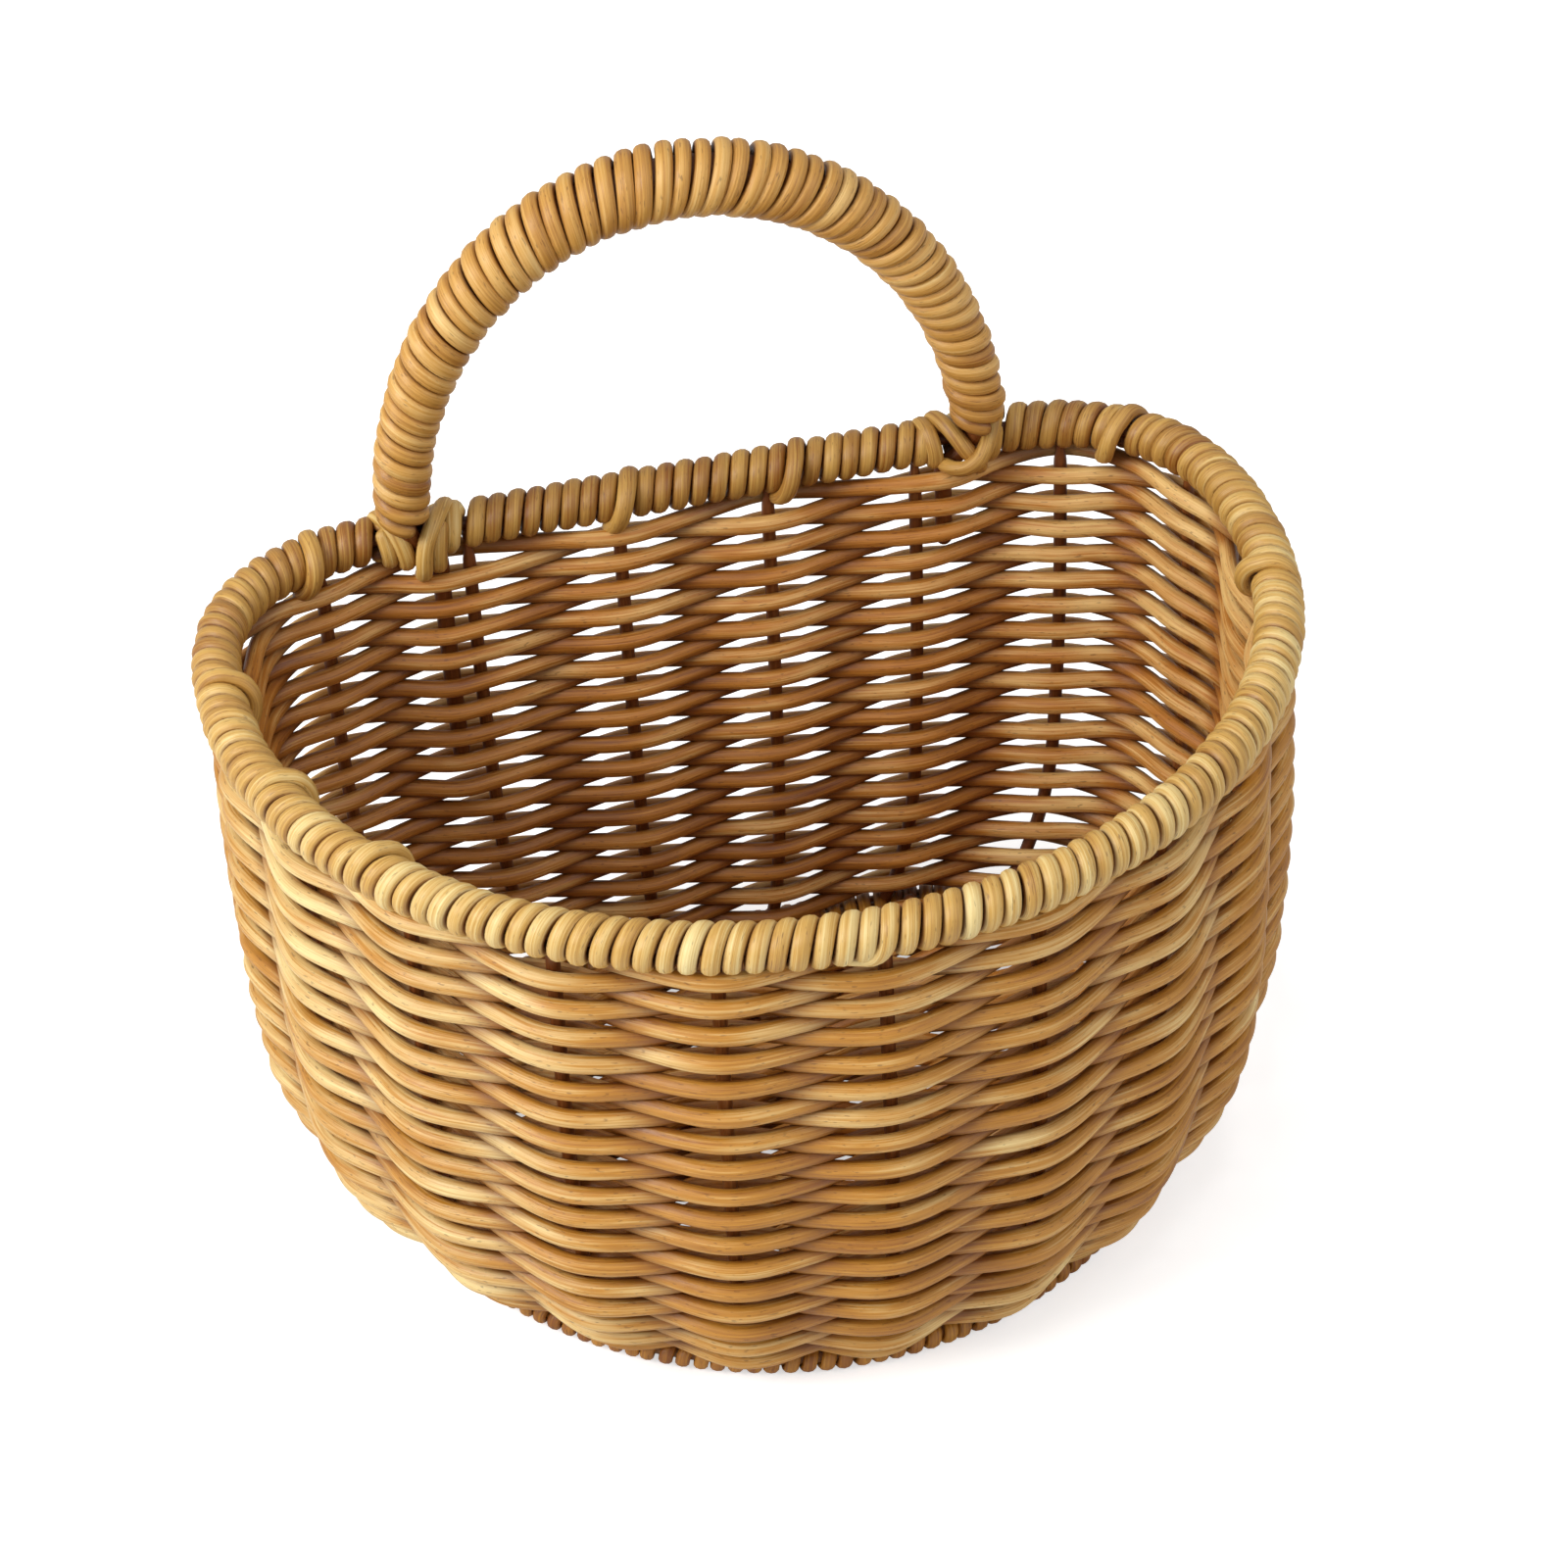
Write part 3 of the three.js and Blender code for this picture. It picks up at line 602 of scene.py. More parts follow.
# Depths where the crevice colour, partly stain and partly painted shade between canes, begins and is full,
# and its strength
WOVEN_STAIN_AND_SHADE = (0.55, 0.08, 0.75)
WOUND_STAIN_AND_SHADE = (0.9, 0.55, 0.85)
weave_material = rattan("rattan_weave", WEAVE_TONES, SHADED_INNER_TONES, WOVEN_STAIN_AND_SHADE)
rim_material = rattan("rattan_rim", RIM_TONES, RIM_TONES, WOUND_STAIN_AND_SHADE)
handle_material = rattan("rattan_handle", HANDLE_TONES, HANDLE_TONES, WOUND_STAIN_AND_SHADE)
stake_material = rattan("rattan_stake", STAKE_TONES, STAKE_TONES, WOVEN_STAIN_AND_SHADE)


# Posts: the stakes, and the handle's two pegs, each beside one of them
LEFT_PEG_STAKE = 1
RIGHT_PEG_STAKE = STAKE_COUNT - 2


def stake_share(index):
    return (index + 0.5) / STAKE_COUNT


peg_offset = (STAKE_RADIUS + PEG_GAP + PEG_RADIUS) / rim_perimeter
left_peg = {"share": stake_share(LEFT_PEG_STAKE) + peg_offset, "bottom": RIM_HEIGHT - LEFT_PEG_LENGTH}
right_peg = {"share": stake_share(RIGHT_PEG_STAKE) - peg_offset, "bottom": RIM_HEIGHT - RIGHT_PEG_LENGTH}


def post_groups(z):
    """Posts that a row passes at a height; a peg and its stake stand between the same two crossings."""
    groups = [[(stake_share(i), STAKE_RADIUS)] for i in range(STAKE_COUNT)]
    if z + ROW_HALF_HEIGHT > left_peg["bottom"]:
        groups[LEFT_PEG_STAKE].append((left_peg["share"], PEG_RADIUS))
    if z + ROW_HALF_HEIGHT > right_peg["bottom"]:
        groups[RIGHT_PEG_STAKE].insert(0, (right_peg["share"], PEG_RADIUS))
    return groups


# Rows: one cane runs twice round, outside a stake on one lap and inside it on the next lap above
LAPS = 2
ROW_STEP = 1.9
WEAVER_FLATNESS = 0.98
# The stake after which the two laps change places, on the left side wall
SEAM_STAKE = 3
# The cane's slack at a post and how much that and its height vary, in mm
PASS_SLACK = 0.08
PASS_SPREAD = 0.1
# Slow changes of height in mm, of width as a share and of tone: wavelength in laps, then size
ROW_WANDER = (0.21, 0.2)
ROW_SWELL = (0.13, 0.04)
ROW_TONE_DRIFT = (0.3, 0.32)
ROW_TONE_SPREAD = 0.2
# Painted light: paler canes on the left towards the front, where the key lamp falls, and on the right where
# they run inside the stakes and face that lamp
PAINTED_LIGHT_TONE = 0.8
PAINTED_LIGHT_LEFT_X = (-50, -125)
PAINTED_LIGHT_LEFT_Y = (70, 0)
PAINTED_LIGHT_RIGHT_X = (60, 125)
PAINTED_LIGHT_RIGHT_OUT = (0, -2)


def row_path(row, rng):
    """Places round the wall in laps, and the cane's offsets there: outwards from the stakes, and up."""
    groups = post_groups(row_height(row))
    shares, offsets = [], []
    for i in range(LAPS * STAKE_COUNT):
        lap, post = divmod(i, STAKE_COUNT)
        side = 1 if i % 2 == 0 else -1
        on_upper_lap = (i - SEAM_STAKE - 1) // STAKE_COUNT % 2 == 0
        level = row_pitch / 4 * (1 if on_upper_lap else -1)
        for share, radius in groups[post]:
            out = side * (radius + WEAVER_RADIUS + rng.normal(PASS_SLACK, PASS_SPREAD))
            shares.append(share + lap)
            offsets.append((out, level + rng.normal(0, PASS_SPREAD)))
        last = groups[post][-1][0]
        following = groups[(post + 1) % STAKE_COUNT][0][0] + (post + 1) // STAKE_COUNT
        shares.append((last + following) / 2 + lap)
        if post == SEAM_STAKE:
            offsets.append((side * WEAVER_RADIUS, 0))
        else:
            offsets.append((rng.normal(0, PASS_SPREAD), level))
    return shares, offsets


def weave_row(row):
    canes = Canes(f"woven_row_{row + 1:02d}", SEEDS["rows"] + row)
    rng = canes.rng
    shares, offsets = row_path(row, rng)
    steps = int(LAPS * rim_perimeter / ROW_STEP)
    share = shares[0] + np.arange(steps) / steps * LAPS
    offset = curve_through(share, shares, offsets, period=LAPS)
    wander = drift(rng, np.mod(share, 1), 1, *ROW_WANDER)
    point, _, out, up = wall_frame(share, np.full(steps, row_height(row)))
    centres = point + offset[:, :1] * out + (offset[:, 1] + wander)[:, None] * up
    radii = WEAVER_RADIUS * (1 + drift(rng, share, LAPS, *ROW_SWELL))
    x, y, outwards = point[:, 0], point[:, 1], offset[:, 0]
    tone = rng.normal(0, ROW_TONE_SPREAD) + drift(rng, share, LAPS, *ROW_TONE_DRIFT)
    # Painted light from the key lamp: paler tone on the left-front canes and on the right canes' inner side
    tone += PAINTED_LIGHT_TONE * smooth_step(*PAINTED_LIGHT_LEFT_X, x) * smooth_step(*PAINTED_LIGHT_LEFT_Y, y)
    tone += PAINTED_LIGHT_TONE * smooth_step(*PAINTED_LIGHT_RIGHT_X, x) * smooth_step(*PAINTED_LIGHT_RIGHT_OUT, outwards)
    reach = STAKE_RADIUS + 2 * WEAVER_RADIUS

    # Depth across the wall: below 0 on the skin facing inside, painted in the darker inner tones as shade,
    # and near 0 at the stakes' plane, where canes cross, given the crevice colour, partly stain and partly
    # painted shade
    def depth(rings, source):
        away = np.sum((rings - point[source][:, None]) * out[source][:, None], axis=-1)
        return np.clip(away / reach, -1, 1)

    canes.add(centres, radii, up, depth, tone, closed=True, flatness=WEAVER_FLATNESS)
    canes.build(weave_material, "weave_cane", row_nodes[row])


for row in range(len(row_nodes)):
    weave_row(row)


# Stakes: from the foot up to the rim's hoop
STAKE_START_SHARE = 0.3
STAKE_RINGS = 60
STAKE_TONE_SPREAD = 0.3


def stake(index, node):
    canes = Canes(f"upright_{index + 1:02d}", SEEDS["stakes"] + index)
    z = np.linspace(FOOT_HEIGHT * STAKE_START_SHARE, RIM_HEIGHT - RIM_CORE_RADIUS, STAKE_RINGS)
    point, _, out, _ = wall_frame(np.full(len(z), stake_share(index)), z)
    taper = smooth_step(last_row, RIM_HEIGHT - RIM_RADIUS + 1, z)
    radii = STAKE_DRAWN_RADIUS + (STAKE_TIP_RADIUS - STAKE_DRAWN_RADIUS) * taper
    canes.add(point, radii, out, even_depth(1), canes.rng.normal(0, STAKE_TONE_SPREAD))
    canes.build(stake_material, "stake_cane", node)


for index, node in enumerate(nodes_named("stake_")):
    stake(index, node)


# Rim: a hoop of cane and the turns wound round it
RIM_HOOP_RINGS = 400
# The hoop's depth gives it part of the crevice colour: painted shade under the winding, partly stain
RIM_HOOP_DEPTH = 0.25
# How far outside the hoop the winding's crevice colour, partly stain and partly painted shade between the
# turns, is deepest
RIM_BURIED_GAP = 0.9


def rim_core():
    canes = Canes("rim_hoop", SEEDS["rim_hoop"])
    point, _, _, up = level_frame(rim_outline, np.arange(RIM_HOOP_RINGS) / RIM_HOOP_RINGS, RIM_HEIGHT)
    canes.add(point, RIM_CORE_RADIUS, up, even_depth(RIM_HOOP_DEPTH), closed=True)
    canes.build(stake_material, "core_cane", "rim_core")


rim_core()

rim_pitch = rim_perimeter / STAKE_COUNT / RIM_TURNS_PER_GAP
rim_wind_radius = RIM_RADIUS - RIM_CANE_WIDTH * RIM_CANE_FLATNESS
rim_buried_radius = RIM_CORE_RADIUS + RIM_BURIED_GAP


def rim_point(place, out, up):
    """Points beside the rim's centre line: place along it in mm, then outwards and up."""
    share = np.asarray(place, float) / rim_perimeter
    point, _, outwards, upwards = level_frame(rim_outline, share, RIM_HEIGHT)
    return point + np.asarray(out)[:, None] * outwards + np.asarray(up)[:, None] * upwards


# Angle round the rim in degrees from its outer side over the top, rise above its turns, and drift along it:
# the end of a cane, which hooks over the inner side and dives into the top row,
HOOK = [
    (145, 2.9, 1.1), (168, 3.5, 2.2), (190, 3.8, 3.3), (210, 3.9, 4.3), (226, 3.8, 5.2), (238, 3.4, 5.8),
]
# and the first stretch of a new cane, along the rim's lower outer edge and up over it
LEAD_IN = [(-66, 0.3, -11), (-58, 0.9, -8), (-44, 1.2, -5.4), (-24, 0.5, -3.4), (-5, 0, -2.5), (35, 0, -1.5)]
# The turns that end in a hook or start with a lead-in, counted from the middle of the back
HOOK_TURNS = (-5, 4, 21, 34, 43, 51, 113, 129)
LEAD_IN_TURNS = (76,)
# The winding's rise over the last part of a turn before a hook
HOOK_LIFT = 1.9
HOOK_RISE = math.radians(110)
# In turns: how far the winding stops short of a hook, starts after a lead-in, and otherwise runs on
HOOK_SHORT = 2 / 3
LEAD_IN_DELAY = 0.25
TAIL = 0.2
# Unevenness from turn to turn: place and height in mm, width as a share, and tone
RIM_PLACE_SPREAD = 0.17
RIM_LIFT_SPREAD = 0.1
RIM_WIDTH_SPREAD = 0.03
RIM_TONE_SPREAD = 0.22
RIM_RING_STEP = 1.4
BACK_TONE = -0.75
FRONT_TONE = 0.25
FRONT_TONE_Y = -20


def rim_tone(y):
    """The rim is browner along the back than at the front."""
    return BACK_TONE + (FRONT_TONE - BACK_TONE) * smooth_step(rim_half_depth + RIM_RADIUS, FRONT_TONE_Y, y)


def table_knots(table, turns, place):
    """Angle, radius and place of a table's points, counted from a turn and a place."""
    degrees, rise, shift = np.array(table, float).reshape(-1, 3).T
    return np.column_stack([np.radians(degrees) + turns * FULL_TURN, rim_wind_radius + rise, place + shift])


def rim_winding(rng, whole, first_turn, last_turn):
    """Angle, radius and place along the rim of the cane between two turns."""
    hook = last_turn in HOOK_TURNS
    lead_in = first_turn in LEAD_IN_TURNS
    start = first_turn + (LEAD_IN_DELAY if lead_in else -TAIL)
    end = last_turn - (HOOK_SHORT if hook else TAIL)
    turn = np.linspace(start, end, int((end - start) * TURN_STEPS) + 1)
    angle = turn * FULL_TURN
    place = turn * rim_pitch + uneven(rng, turn, whole, RIM_PLACE_SPREAD) - RIM_LEAN * np.cos(angle)
    radius = rim_wind_radius + uneven(rng, turn, whole, RIM_LIFT_SPREAD)
    if hook:
        radius += HOOK_LIFT * smooth_step(end * FULL_TURN - HOOK_RISE, end * FULL_TURN, angle)
    knots = np.column_stack([angle, radius, place])
    if not (lead_in or hook):
        return knots.T
    before = table_knots(LEAD_IN if lead_in else [], first_turn, place[0])
    after = table_knots(HOOK if hook else [], last_turn - 1, place[-1])
    knots = np.vstack([before, knots, after])
    travel = np.hypot(np.diff(knots[:, 0]) * knots[1:, 1], np.diff(knots[:, 2]))
    length = np.concatenate([[0], np.cumsum(travel)])
    even = np.linspace(0, length[-1], int(length[-1] / RIM_RING_STEP) + 1)
    return curve_through(even, length, knots).T


def rim_turns(canes, first_turn, last_turn):
    """A left-handed winding: from the outer side over the top to the inner side, and below again."""
    rng = canes.rng
    whole = np.arange(first_turn - 1, last_turn + 2)
    angle, radius, place = rim_winding(rng, whole, first_turn, last_turn)
    point, along, out, up = level_frame(rim_outline, place / rim_perimeter, RIM_HEIGHT)
    away = np.cos(angle)[:, None] * out + np.sin(angle)[:, None] * up
    at = np.clip(place / rim_pitch, whole[0], whole[-1])
    tone = rim_tone(point[:, 1]) + uneven(rng, at, whole, RIM_TONE_SPREAD)
    width = RIM_CANE_WIDTH * (1 + uneven(rng, at, whole, RIM_WIDTH_SPREAD))
    depth = wound_depth(point, along, rim_buried_radius, RIM_RADIUS)
    centres = point + radius[:, None] * away
    canes.add(centres, width, away, depth, tone, flatness=RIM_CANE_FLATNESS, squareness=WOUND_SQUARENESS)


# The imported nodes' shares of the winding: six round the sides and the front, two between the legs
LASHING_REACH = 9.3
SIDE_NODES = 6
BACK_FIRST = -13
BACK_LAST = 12
side_first = math.ceil((LEG_PLACE + LASHING_REACH) / rim_pitch)
side_last = math.floor((rim_perimeter - LEG_PLACE - LASHING_REACH) / rim_pitch)
side_bounds = np.linspace(side_first, side_last, SIDE_NODES + 1).round().astype(int).tolist()
spans = list(zip(side_bounds[:-1], side_bounds[1:])) + [(BACK_FIRST, 0), (0, BACK_LAST)]
for index, (node, (first, last)) in enumerate(zip(nodes_named("rim_wrap"), spans)):
    canes = Canes(f"rim_cane_{index + 1:02d}", SEEDS["rim"] + index)
    cuts = [first] + [turn for turn in HOOK_TURNS if first < turn < last] + [last]
    for start, end in zip(cuts[:-1], cuts[1:]):
        rim_turns(canes, start, end)
    canes.build(rim_material, "rim_cane", node)


# Lashings: canes crossed in front of each leg; a point is its place along the rim, outwards and up
LEFT_OUTER = [
    [(-10.5, 4.4, 1.5), (-9.6, 2.6, 5.4), (-8.2, -1.2, 6.4), (-6.2, -5.0, 4.6), (-4.8, -7.2, 1.6),
     (-3.9, -7.8, -1.6), (-3.4, -7.0, -4.6), (-3.4, -4.4, -7)],
    [(-9.2, -4.4, 3.2), (-8.5, -5.9, -0.2), (-8.0, -5.4, -3.4), (-7.8, -3.2, -6)],
]
LEFT_INNER = [
    [(10.8, 4.4, 1.8), (9.6, 1.6, 6.4), (7.0, -3.2, 7.0), (3.6, -7.8, 4.6), (1.6, -9.8, 1.4),
     (0.8, -10.4, -2.2), (0.6, -10.2, -5.6), (0.6, -8.6, -8.6), (0.8, -5.2, -10.8)],
    [(6.6, -5.6, 3.8), (5.8, -7.4, 0.6), (5.3, -8.0, -2.8), (5.2, -7.6, -6.4), (5.4, -4.8, -9.4)],
    [(13.0, 4.4, 0), (12.2, 2.2, 4.4), (11.2, -2.4, 4.8), (10.2, -5.2, 1.4), (9.5, -5.4, -2.2),
     (9.2, -3, -5)],
]
RIGHT_OUTER = [
    [(11.4, 4.4, 1.8), (10.6, 1.6, 6.6), (9.0, -3.4, 6.8), (6.8, -7.4, 4.4), (4.2, -10.6, 1.4),
     (1.2, -12.4, -1.2), (-2.0, -12.0, -3.2), (-4.8, -9.8, -4.2), (-6.6, -6.6, -4.6)],
    [(8.8, -4.6, 2.6), (8.0, -5.8, -0.8), (7.5, -5.0, -3.8), (7.2, -2.8, -6)],
]
RIGHT_INNER = [
    [(-8.4, 4.4, 1.5), (-7.6, 2.2, 6.0), (-5.6, -2.8, 6.6), (-3.4, -6.9, 4.4), (-1.2, -9.2, 1.2),
     (1.0, -9.5, -2.0), (2.8, -8.4, -5.2), (3.6, -5.4, -8)],
    [(-12.0, 4.4, 0.5), (-11.4, 1.8, 5.0), (-10.5, -2.8, 4.8), (-9.8, -5.5, 1.6), (-9.3, -5.7, -2.0),
     (-9, -3.4, -5)],
]

# A short turn behind a leg, round the rim's outer side; the lashings' last values are these turns' places
BEHIND_LEG = [
    (0.9, -0.8, 4.7), (0.6, 2.2, 4.2), (0.3, 4.1, 2.4), (0, 4.75, 0),
    (-0.3, 4.1, -2.4), (-0.6, 2.2, -4.2), (-0.9, -0.8, -4.7),
]
LASHINGS = (
    ("left", "outer", LEG_PLACE, LEFT_OUTER, (-9.6, -4.3)),
    ("left", "inner", LEG_PLACE, LEFT_INNER, (1.0, 6.3, 11.6)),
    ("right", "outer", -LEG_PLACE, RIGHT_OUTER, (3.4, 8.7)),
    ("right", "inner", -LEG_PLACE, RIGHT_INNER, (-7.2, -1.9)),
)
LASHING_CANE_WIDTH = 2.45
LASHING_FLATNESS = 0.88
LASHING_TONE = 0.5
LASHING_TONE_SPREAD = 0.2


def lashing(leg, part, leg_place, strands, behind, seed):
    canes = Canes(f"{leg}_leg_binding_{part}", seed)
    turns = [[(place + lean, out, up) for lean, out, up in BEHIND_LEG] for place in behind]
    for strand in strands + turns:
        points = np.array(strand, float)
        line = rim_point(leg_place - points[:, 0], points[:, 1], points[:, 2])
        length = running_lengths(line)
        even = np.linspace(0, length[-1], int(length[-1]) + 1)
        centres = curve_through(even, length, line)
        place = leg_place - curve_through(even, length, points[:, 0])
        axis = rim_point(place, np.zeros(len(place)), np.zeros(len(place)))
        tangent = unit(np.gradient(axis, axis=0) + TINY)
        depth = wound_depth(axis, tangent, rim_buried_radius, RIM_RADIUS)
        tone = rim_tone(rim_half_depth) + canes.rng.normal(LASHING_TONE, LASHING_TONE_SPREAD)
        canes.add(centres, LASHING_CANE_WIDTH, unit(centres - axis), depth, tone, flatness=LASHING_FLATNESS)
    canes.build(rim_material, "rim_cane", f"{leg}_leg_lashing_{part}")


for index, values in enumerate(LASHINGS):
    lashing(*values, seed=SEEDS["lashings"] + index)


# Handle: a tapered hoop under two canes wound side by side
def arch_frame(angle):
    sine, cosine = np.sin(angle), np.cos(angle)
    level = np.zeros(len(angle))
    x = -HANDLE_HALF_SPAN * cosine - CROWN_LEAN * sine
    point = np.column_stack([x, np.full(len(angle), HANDLE_Y), ARCH_BASE + ARCH_RISE * sine])
    along = unit(np.column_stack([HANDLE_HALF_SPAN * sine - CROWN_LEAN * cosine, level, ARCH_RISE * cosine]))
    away = np.column_stack([-along[:, 2], level, along[:, 0]])
    radius = LEG_RADIUS + (CROWN_RADIUS - LEG_RADIUS) * np.maximum(sine, 0) ** CROWN_POWER
    return point, along, away, radius


ARCH_STEPS = 1440
arch_angles = np.linspace(0, math.pi, ARCH_STEPS + 1)
arch_lengths = running_lengths(arch_frame(arch_angles)[0])
handle_cane_half = HANDLE_CANE_WIDTH * HANDLE_CANE_FLATNESS

# The first cane starts on the hoop's back, and the second, a little higher, opposite it
HANDLE_START_TURN = 0.25
HANDLE_STEP = 0.08
# Both close in on the core over the first and the last half turn
HANDLE_CLOSING = 0.9
HANDLE_CLOSING_TURNS = 0.5
# Unevenness from turn to turn: place in turns, height in mm, width as a share, and tone
HANDLE_PLACE_SPREAD = 0.02
HANDLE_LIFT_SPREAD = 0.12
HANDLE_WIDTH_SPREAD = 0.04
HANDLE_TONE_SPREAD = 0.26
# Room between the winding and where its crevice colour, partly stain and partly painted shade between the
# turns, is deepest, and between the winding and the core
HANDLE_BURIED_GAP = 0.4
HANDLE_CORE_GAP = 0.2


def handle_cane(start, name):
    canes = Canes(name, SEEDS["handle"] + start)
    rng = canes.rng
    turn = np.linspace(0, HANDLE_TURNS, HANDLE_TURNS * TURN_STEPS + 1)
    whole = np.arange(-1, HANDLE_TURNS + 2)
    share = (turn + uneven(rng, turn, whole, HANDLE_PLACE_SPREAD)) / HANDLE_TURNS
    place = HANDLE_WRAP_START + share * (arch_lengths[-1] - 2 * HANDLE_WRAP_START)
    angle = (turn + HANDLE_START_TURN + start / HANDLE_STARTS) * FULL_TURN
    place = place + HANDLE_LEAN * np.cos(angle)
    point, along, away, radius = arch_frame(np.interp(place, arch_lengths, arch_angles))
    spoke = np.cos(angle)[:, None] * away + np.sin(angle)[:, None] * BACKWARDS
    lift = uneven(rng, turn, whole, HANDLE_LIFT_SPREAD) + (HANDLE_STEP if start else -HANDLE_STEP)
    at_start = smooth_step(HANDLE_CLOSING_TURNS, 0, turn)
    at_end = smooth_step(HANDLE_TURNS - HANDLE_CLOSING_TURNS, HANDLE_TURNS, turn)
    closing = HANDLE_CLOSING * (at_start + at_end)
    centres = point + (radius - handle_cane_half + lift - closing)[:, None] * spoke
    tone = uneven(rng, turn, whole, HANDLE_TONE_SPREAD)
    width = HANDLE_CANE_WIDTH * (1 + uneven(rng, turn, whole, HANDLE_WIDTH_SPREAD))
    depth = wound_depth(point, along, radius - 2 * handle_cane_half - HANDLE_BURIED_GAP, radius)
    canes.add(centres, width, spoke, depth, tone, flatness=HANDLE_CANE_FLATNESS, squareness=WOUND_SQUARENESS)
    return canes


handle_nodes = nodes_named("handle_wrap")
for start, name in enumerate(("handle_cane_first", "handle_cane_second")):
    handle_cane(start, name).build(handle_material, "handle_cane", *handle_nodes[start::HANDLE_STARTS])


PEG_KNOTS = 16
ARCH_KNOTS = 60
HANDLE_HOOP_RINGS = 260
# The hoop's depth gives it part of the crevice colour: painted shade under the winding, partly stain
HANDLE_HOOP_DEPTH = 0.35
PEG_TOP_BELOW_ROWS = 2
PEG_BEND_BELOW_RIM = 1.0
CORE_SWELL = 0.5


def peg_line(peg, x):
    """From a peg's lower end up the weave, to its bend in front of the rim's hoop."""
    z = np.linspace(peg["bottom"], last_row + ROW_HALF_HEIGHT - PEG_TOP_BELOW_ROWS, PEG_KNOTS)
    in_weave = wall_point(np.full(len(z), peg["share"]), z)
    return np.vstack([in_weave, [[x, LEG_Y, RIM_HEIGHT - PEG_BEND_BELOW_RIM]]])


def handle_core():
    """The hoop under the winding, with the two pegs that it ends in."""
    left, right = peg_line(left_peg, -LEG_PLACE), peg_line(right_peg, LEG_PLACE)
    point, _, _, radius = arch_frame(np.linspace(0, math.pi, ARCH_KNOTS))
    knots = np.vstack([left, point, right[::-1]])
    core = np.maximum(radius - 2 * handle_cane_half - HANDLE_CORE_GAP, PEG_RADIUS)
    core[[0, -1]] = PEG_RADIUS + CORE_SWELL
    core = np.concatenate([np.full(len(left), PEG_RADIUS), core, np.full(len(right), PEG_RADIUS)])
    length = running_lengths(knots)
    even = np.linspace(0, length[-1], HANDLE_HOOP_RINGS)
    line = curve_through(even, length, knots)
    guide = np.tile(BACKWARDS, (len(line), 1))
    canes = Canes("handle_hoop", SEEDS["handle_hoop"])
    canes.add(line, np.interp(even, length, core), guide, even_depth(HANDLE_HOOP_DEPTH))
    canes.build(stake_material, "core_cane", "handle_core")


handle_core()


# Foot: a flat ring of canes wound with short turns
FOOT_SQUARENESS = 0.7
FOOT_CLEARANCE = 0.12
FOOT_PLACE_SPREAD = 0.05
FOOT_TONE = -0.9
FOOT_TONE_SPREAD = 0.35
FOOT_SIDES = 10
# The canes inside the winding: how far aside of its middle they lie
FOOT_CORES = (-3, 0, 3)
FOOT_CORE_RADIUS = 1.6
FOOT_CORE_SIDES = 8
FOOT_CORE_RINGS = 300
# Their depth gives them much of the crevice colour: painted shade inside the winding, partly stain
FOOT_CORE_DEPTH = 0.2


def foot():
    canes = Canes("foot_winding", SEEDS["foot"])
    rng = canes.rng
    turn = np.arange(FOOT_TURNS * TURN_STEPS) / TURN_STEPS
    whole = np.arange(FOOT_TURNS)
    jitter = uneven(rng, turn, whole, FOOT_PLACE_SPREAD, period=FOOT_TURNS)
    point, _, out, up = level_frame(foot_outline, (turn + jitter) / FOOT_TURNS, FOOT_HEIGHT / 2)
    angle = turn * FULL_TURN
    half = FOOT_CANE_WIDTH * FOOT_CANE_FLATNESS
    aside = (FOOT_WIDTH / 2 - half) * bowed(np.cos(angle), FOOT_SQUARENESS)
    rise = (FOOT_HEIGHT / 2 - half - FOOT_CLEARANCE) * bowed(np.sin(angle), FOOT_SQUARENESS)
    centres = point + (aside[:, None] * out + rise[:, None] * up)
    guide = unit((np.cos(angle) * FOOT_HEIGHT)[:, None] * out + (np.sin(angle) * FOOT_WIDTH)[:, None] * up)
    tone = uneven(rng, turn, whole, FOOT_TONE_SPREAD, FOOT_TONE, period=FOOT_TURNS)

    # Depth from the winding's middle to its outer edge; where it is low, the material paints the crevice
    # colour, partly stain and partly painted shade between the turns
    def depth(rings, source):
        away = rings - point[source][:, None]
        u = np.abs(np.sum(away * out[source][:, None], axis=-1)) / (FOOT_WIDTH / 2)
        v = np.abs(np.sum(away * up[source][:, None], axis=-1)) / (FOOT_HEIGHT / 2)
        return np.clip(np.maximum(u, v) * 2 - 1, 0, 1)

    canes.add(centres, FOOT_CANE_WIDTH, guide, depth, tone, closed=True, sides=FOOT_SIDES,
              flatness=FOOT_CANE_FLATNESS, squareness=WOUND_SQUARENESS)
    share = np.arange(FOOT_CORE_RINGS) / FOOT_CORE_RINGS
    middle, _, sideways, upwards = level_frame(foot_outline, share, FOOT_HEIGHT / 2)
    for place in FOOT_CORES:
        core = middle + place * sideways
        canes.add(core, FOOT_CORE_RADIUS, upwards, even_depth(FOOT_CORE_DEPTH), closed=True,
                  sides=FOOT_CORE_SIDES)
    canes.build(weave_material, "weave_cane", "foot_ring")


foot()


# Floor: sticks from back to front, and one cane woven to and fro across them
FLOOR_EDGE_STEPS = 1200
# A pass turns back where the ring is nearest within this reach of its loop, and is pressed a little into it
LOOP_REACH = 3
LOOP_PRESS = 0.8
REAR_GAP = 0.3
STICK_MARGIN = 4
PASS_JITTER = 0.15
FLOOR_RING_STEP = 2
FLOOR_TONE = -0.1
FLOOR_TONE_SPREAD = 0.4
FLOOR_TONE_CHANGES = 60
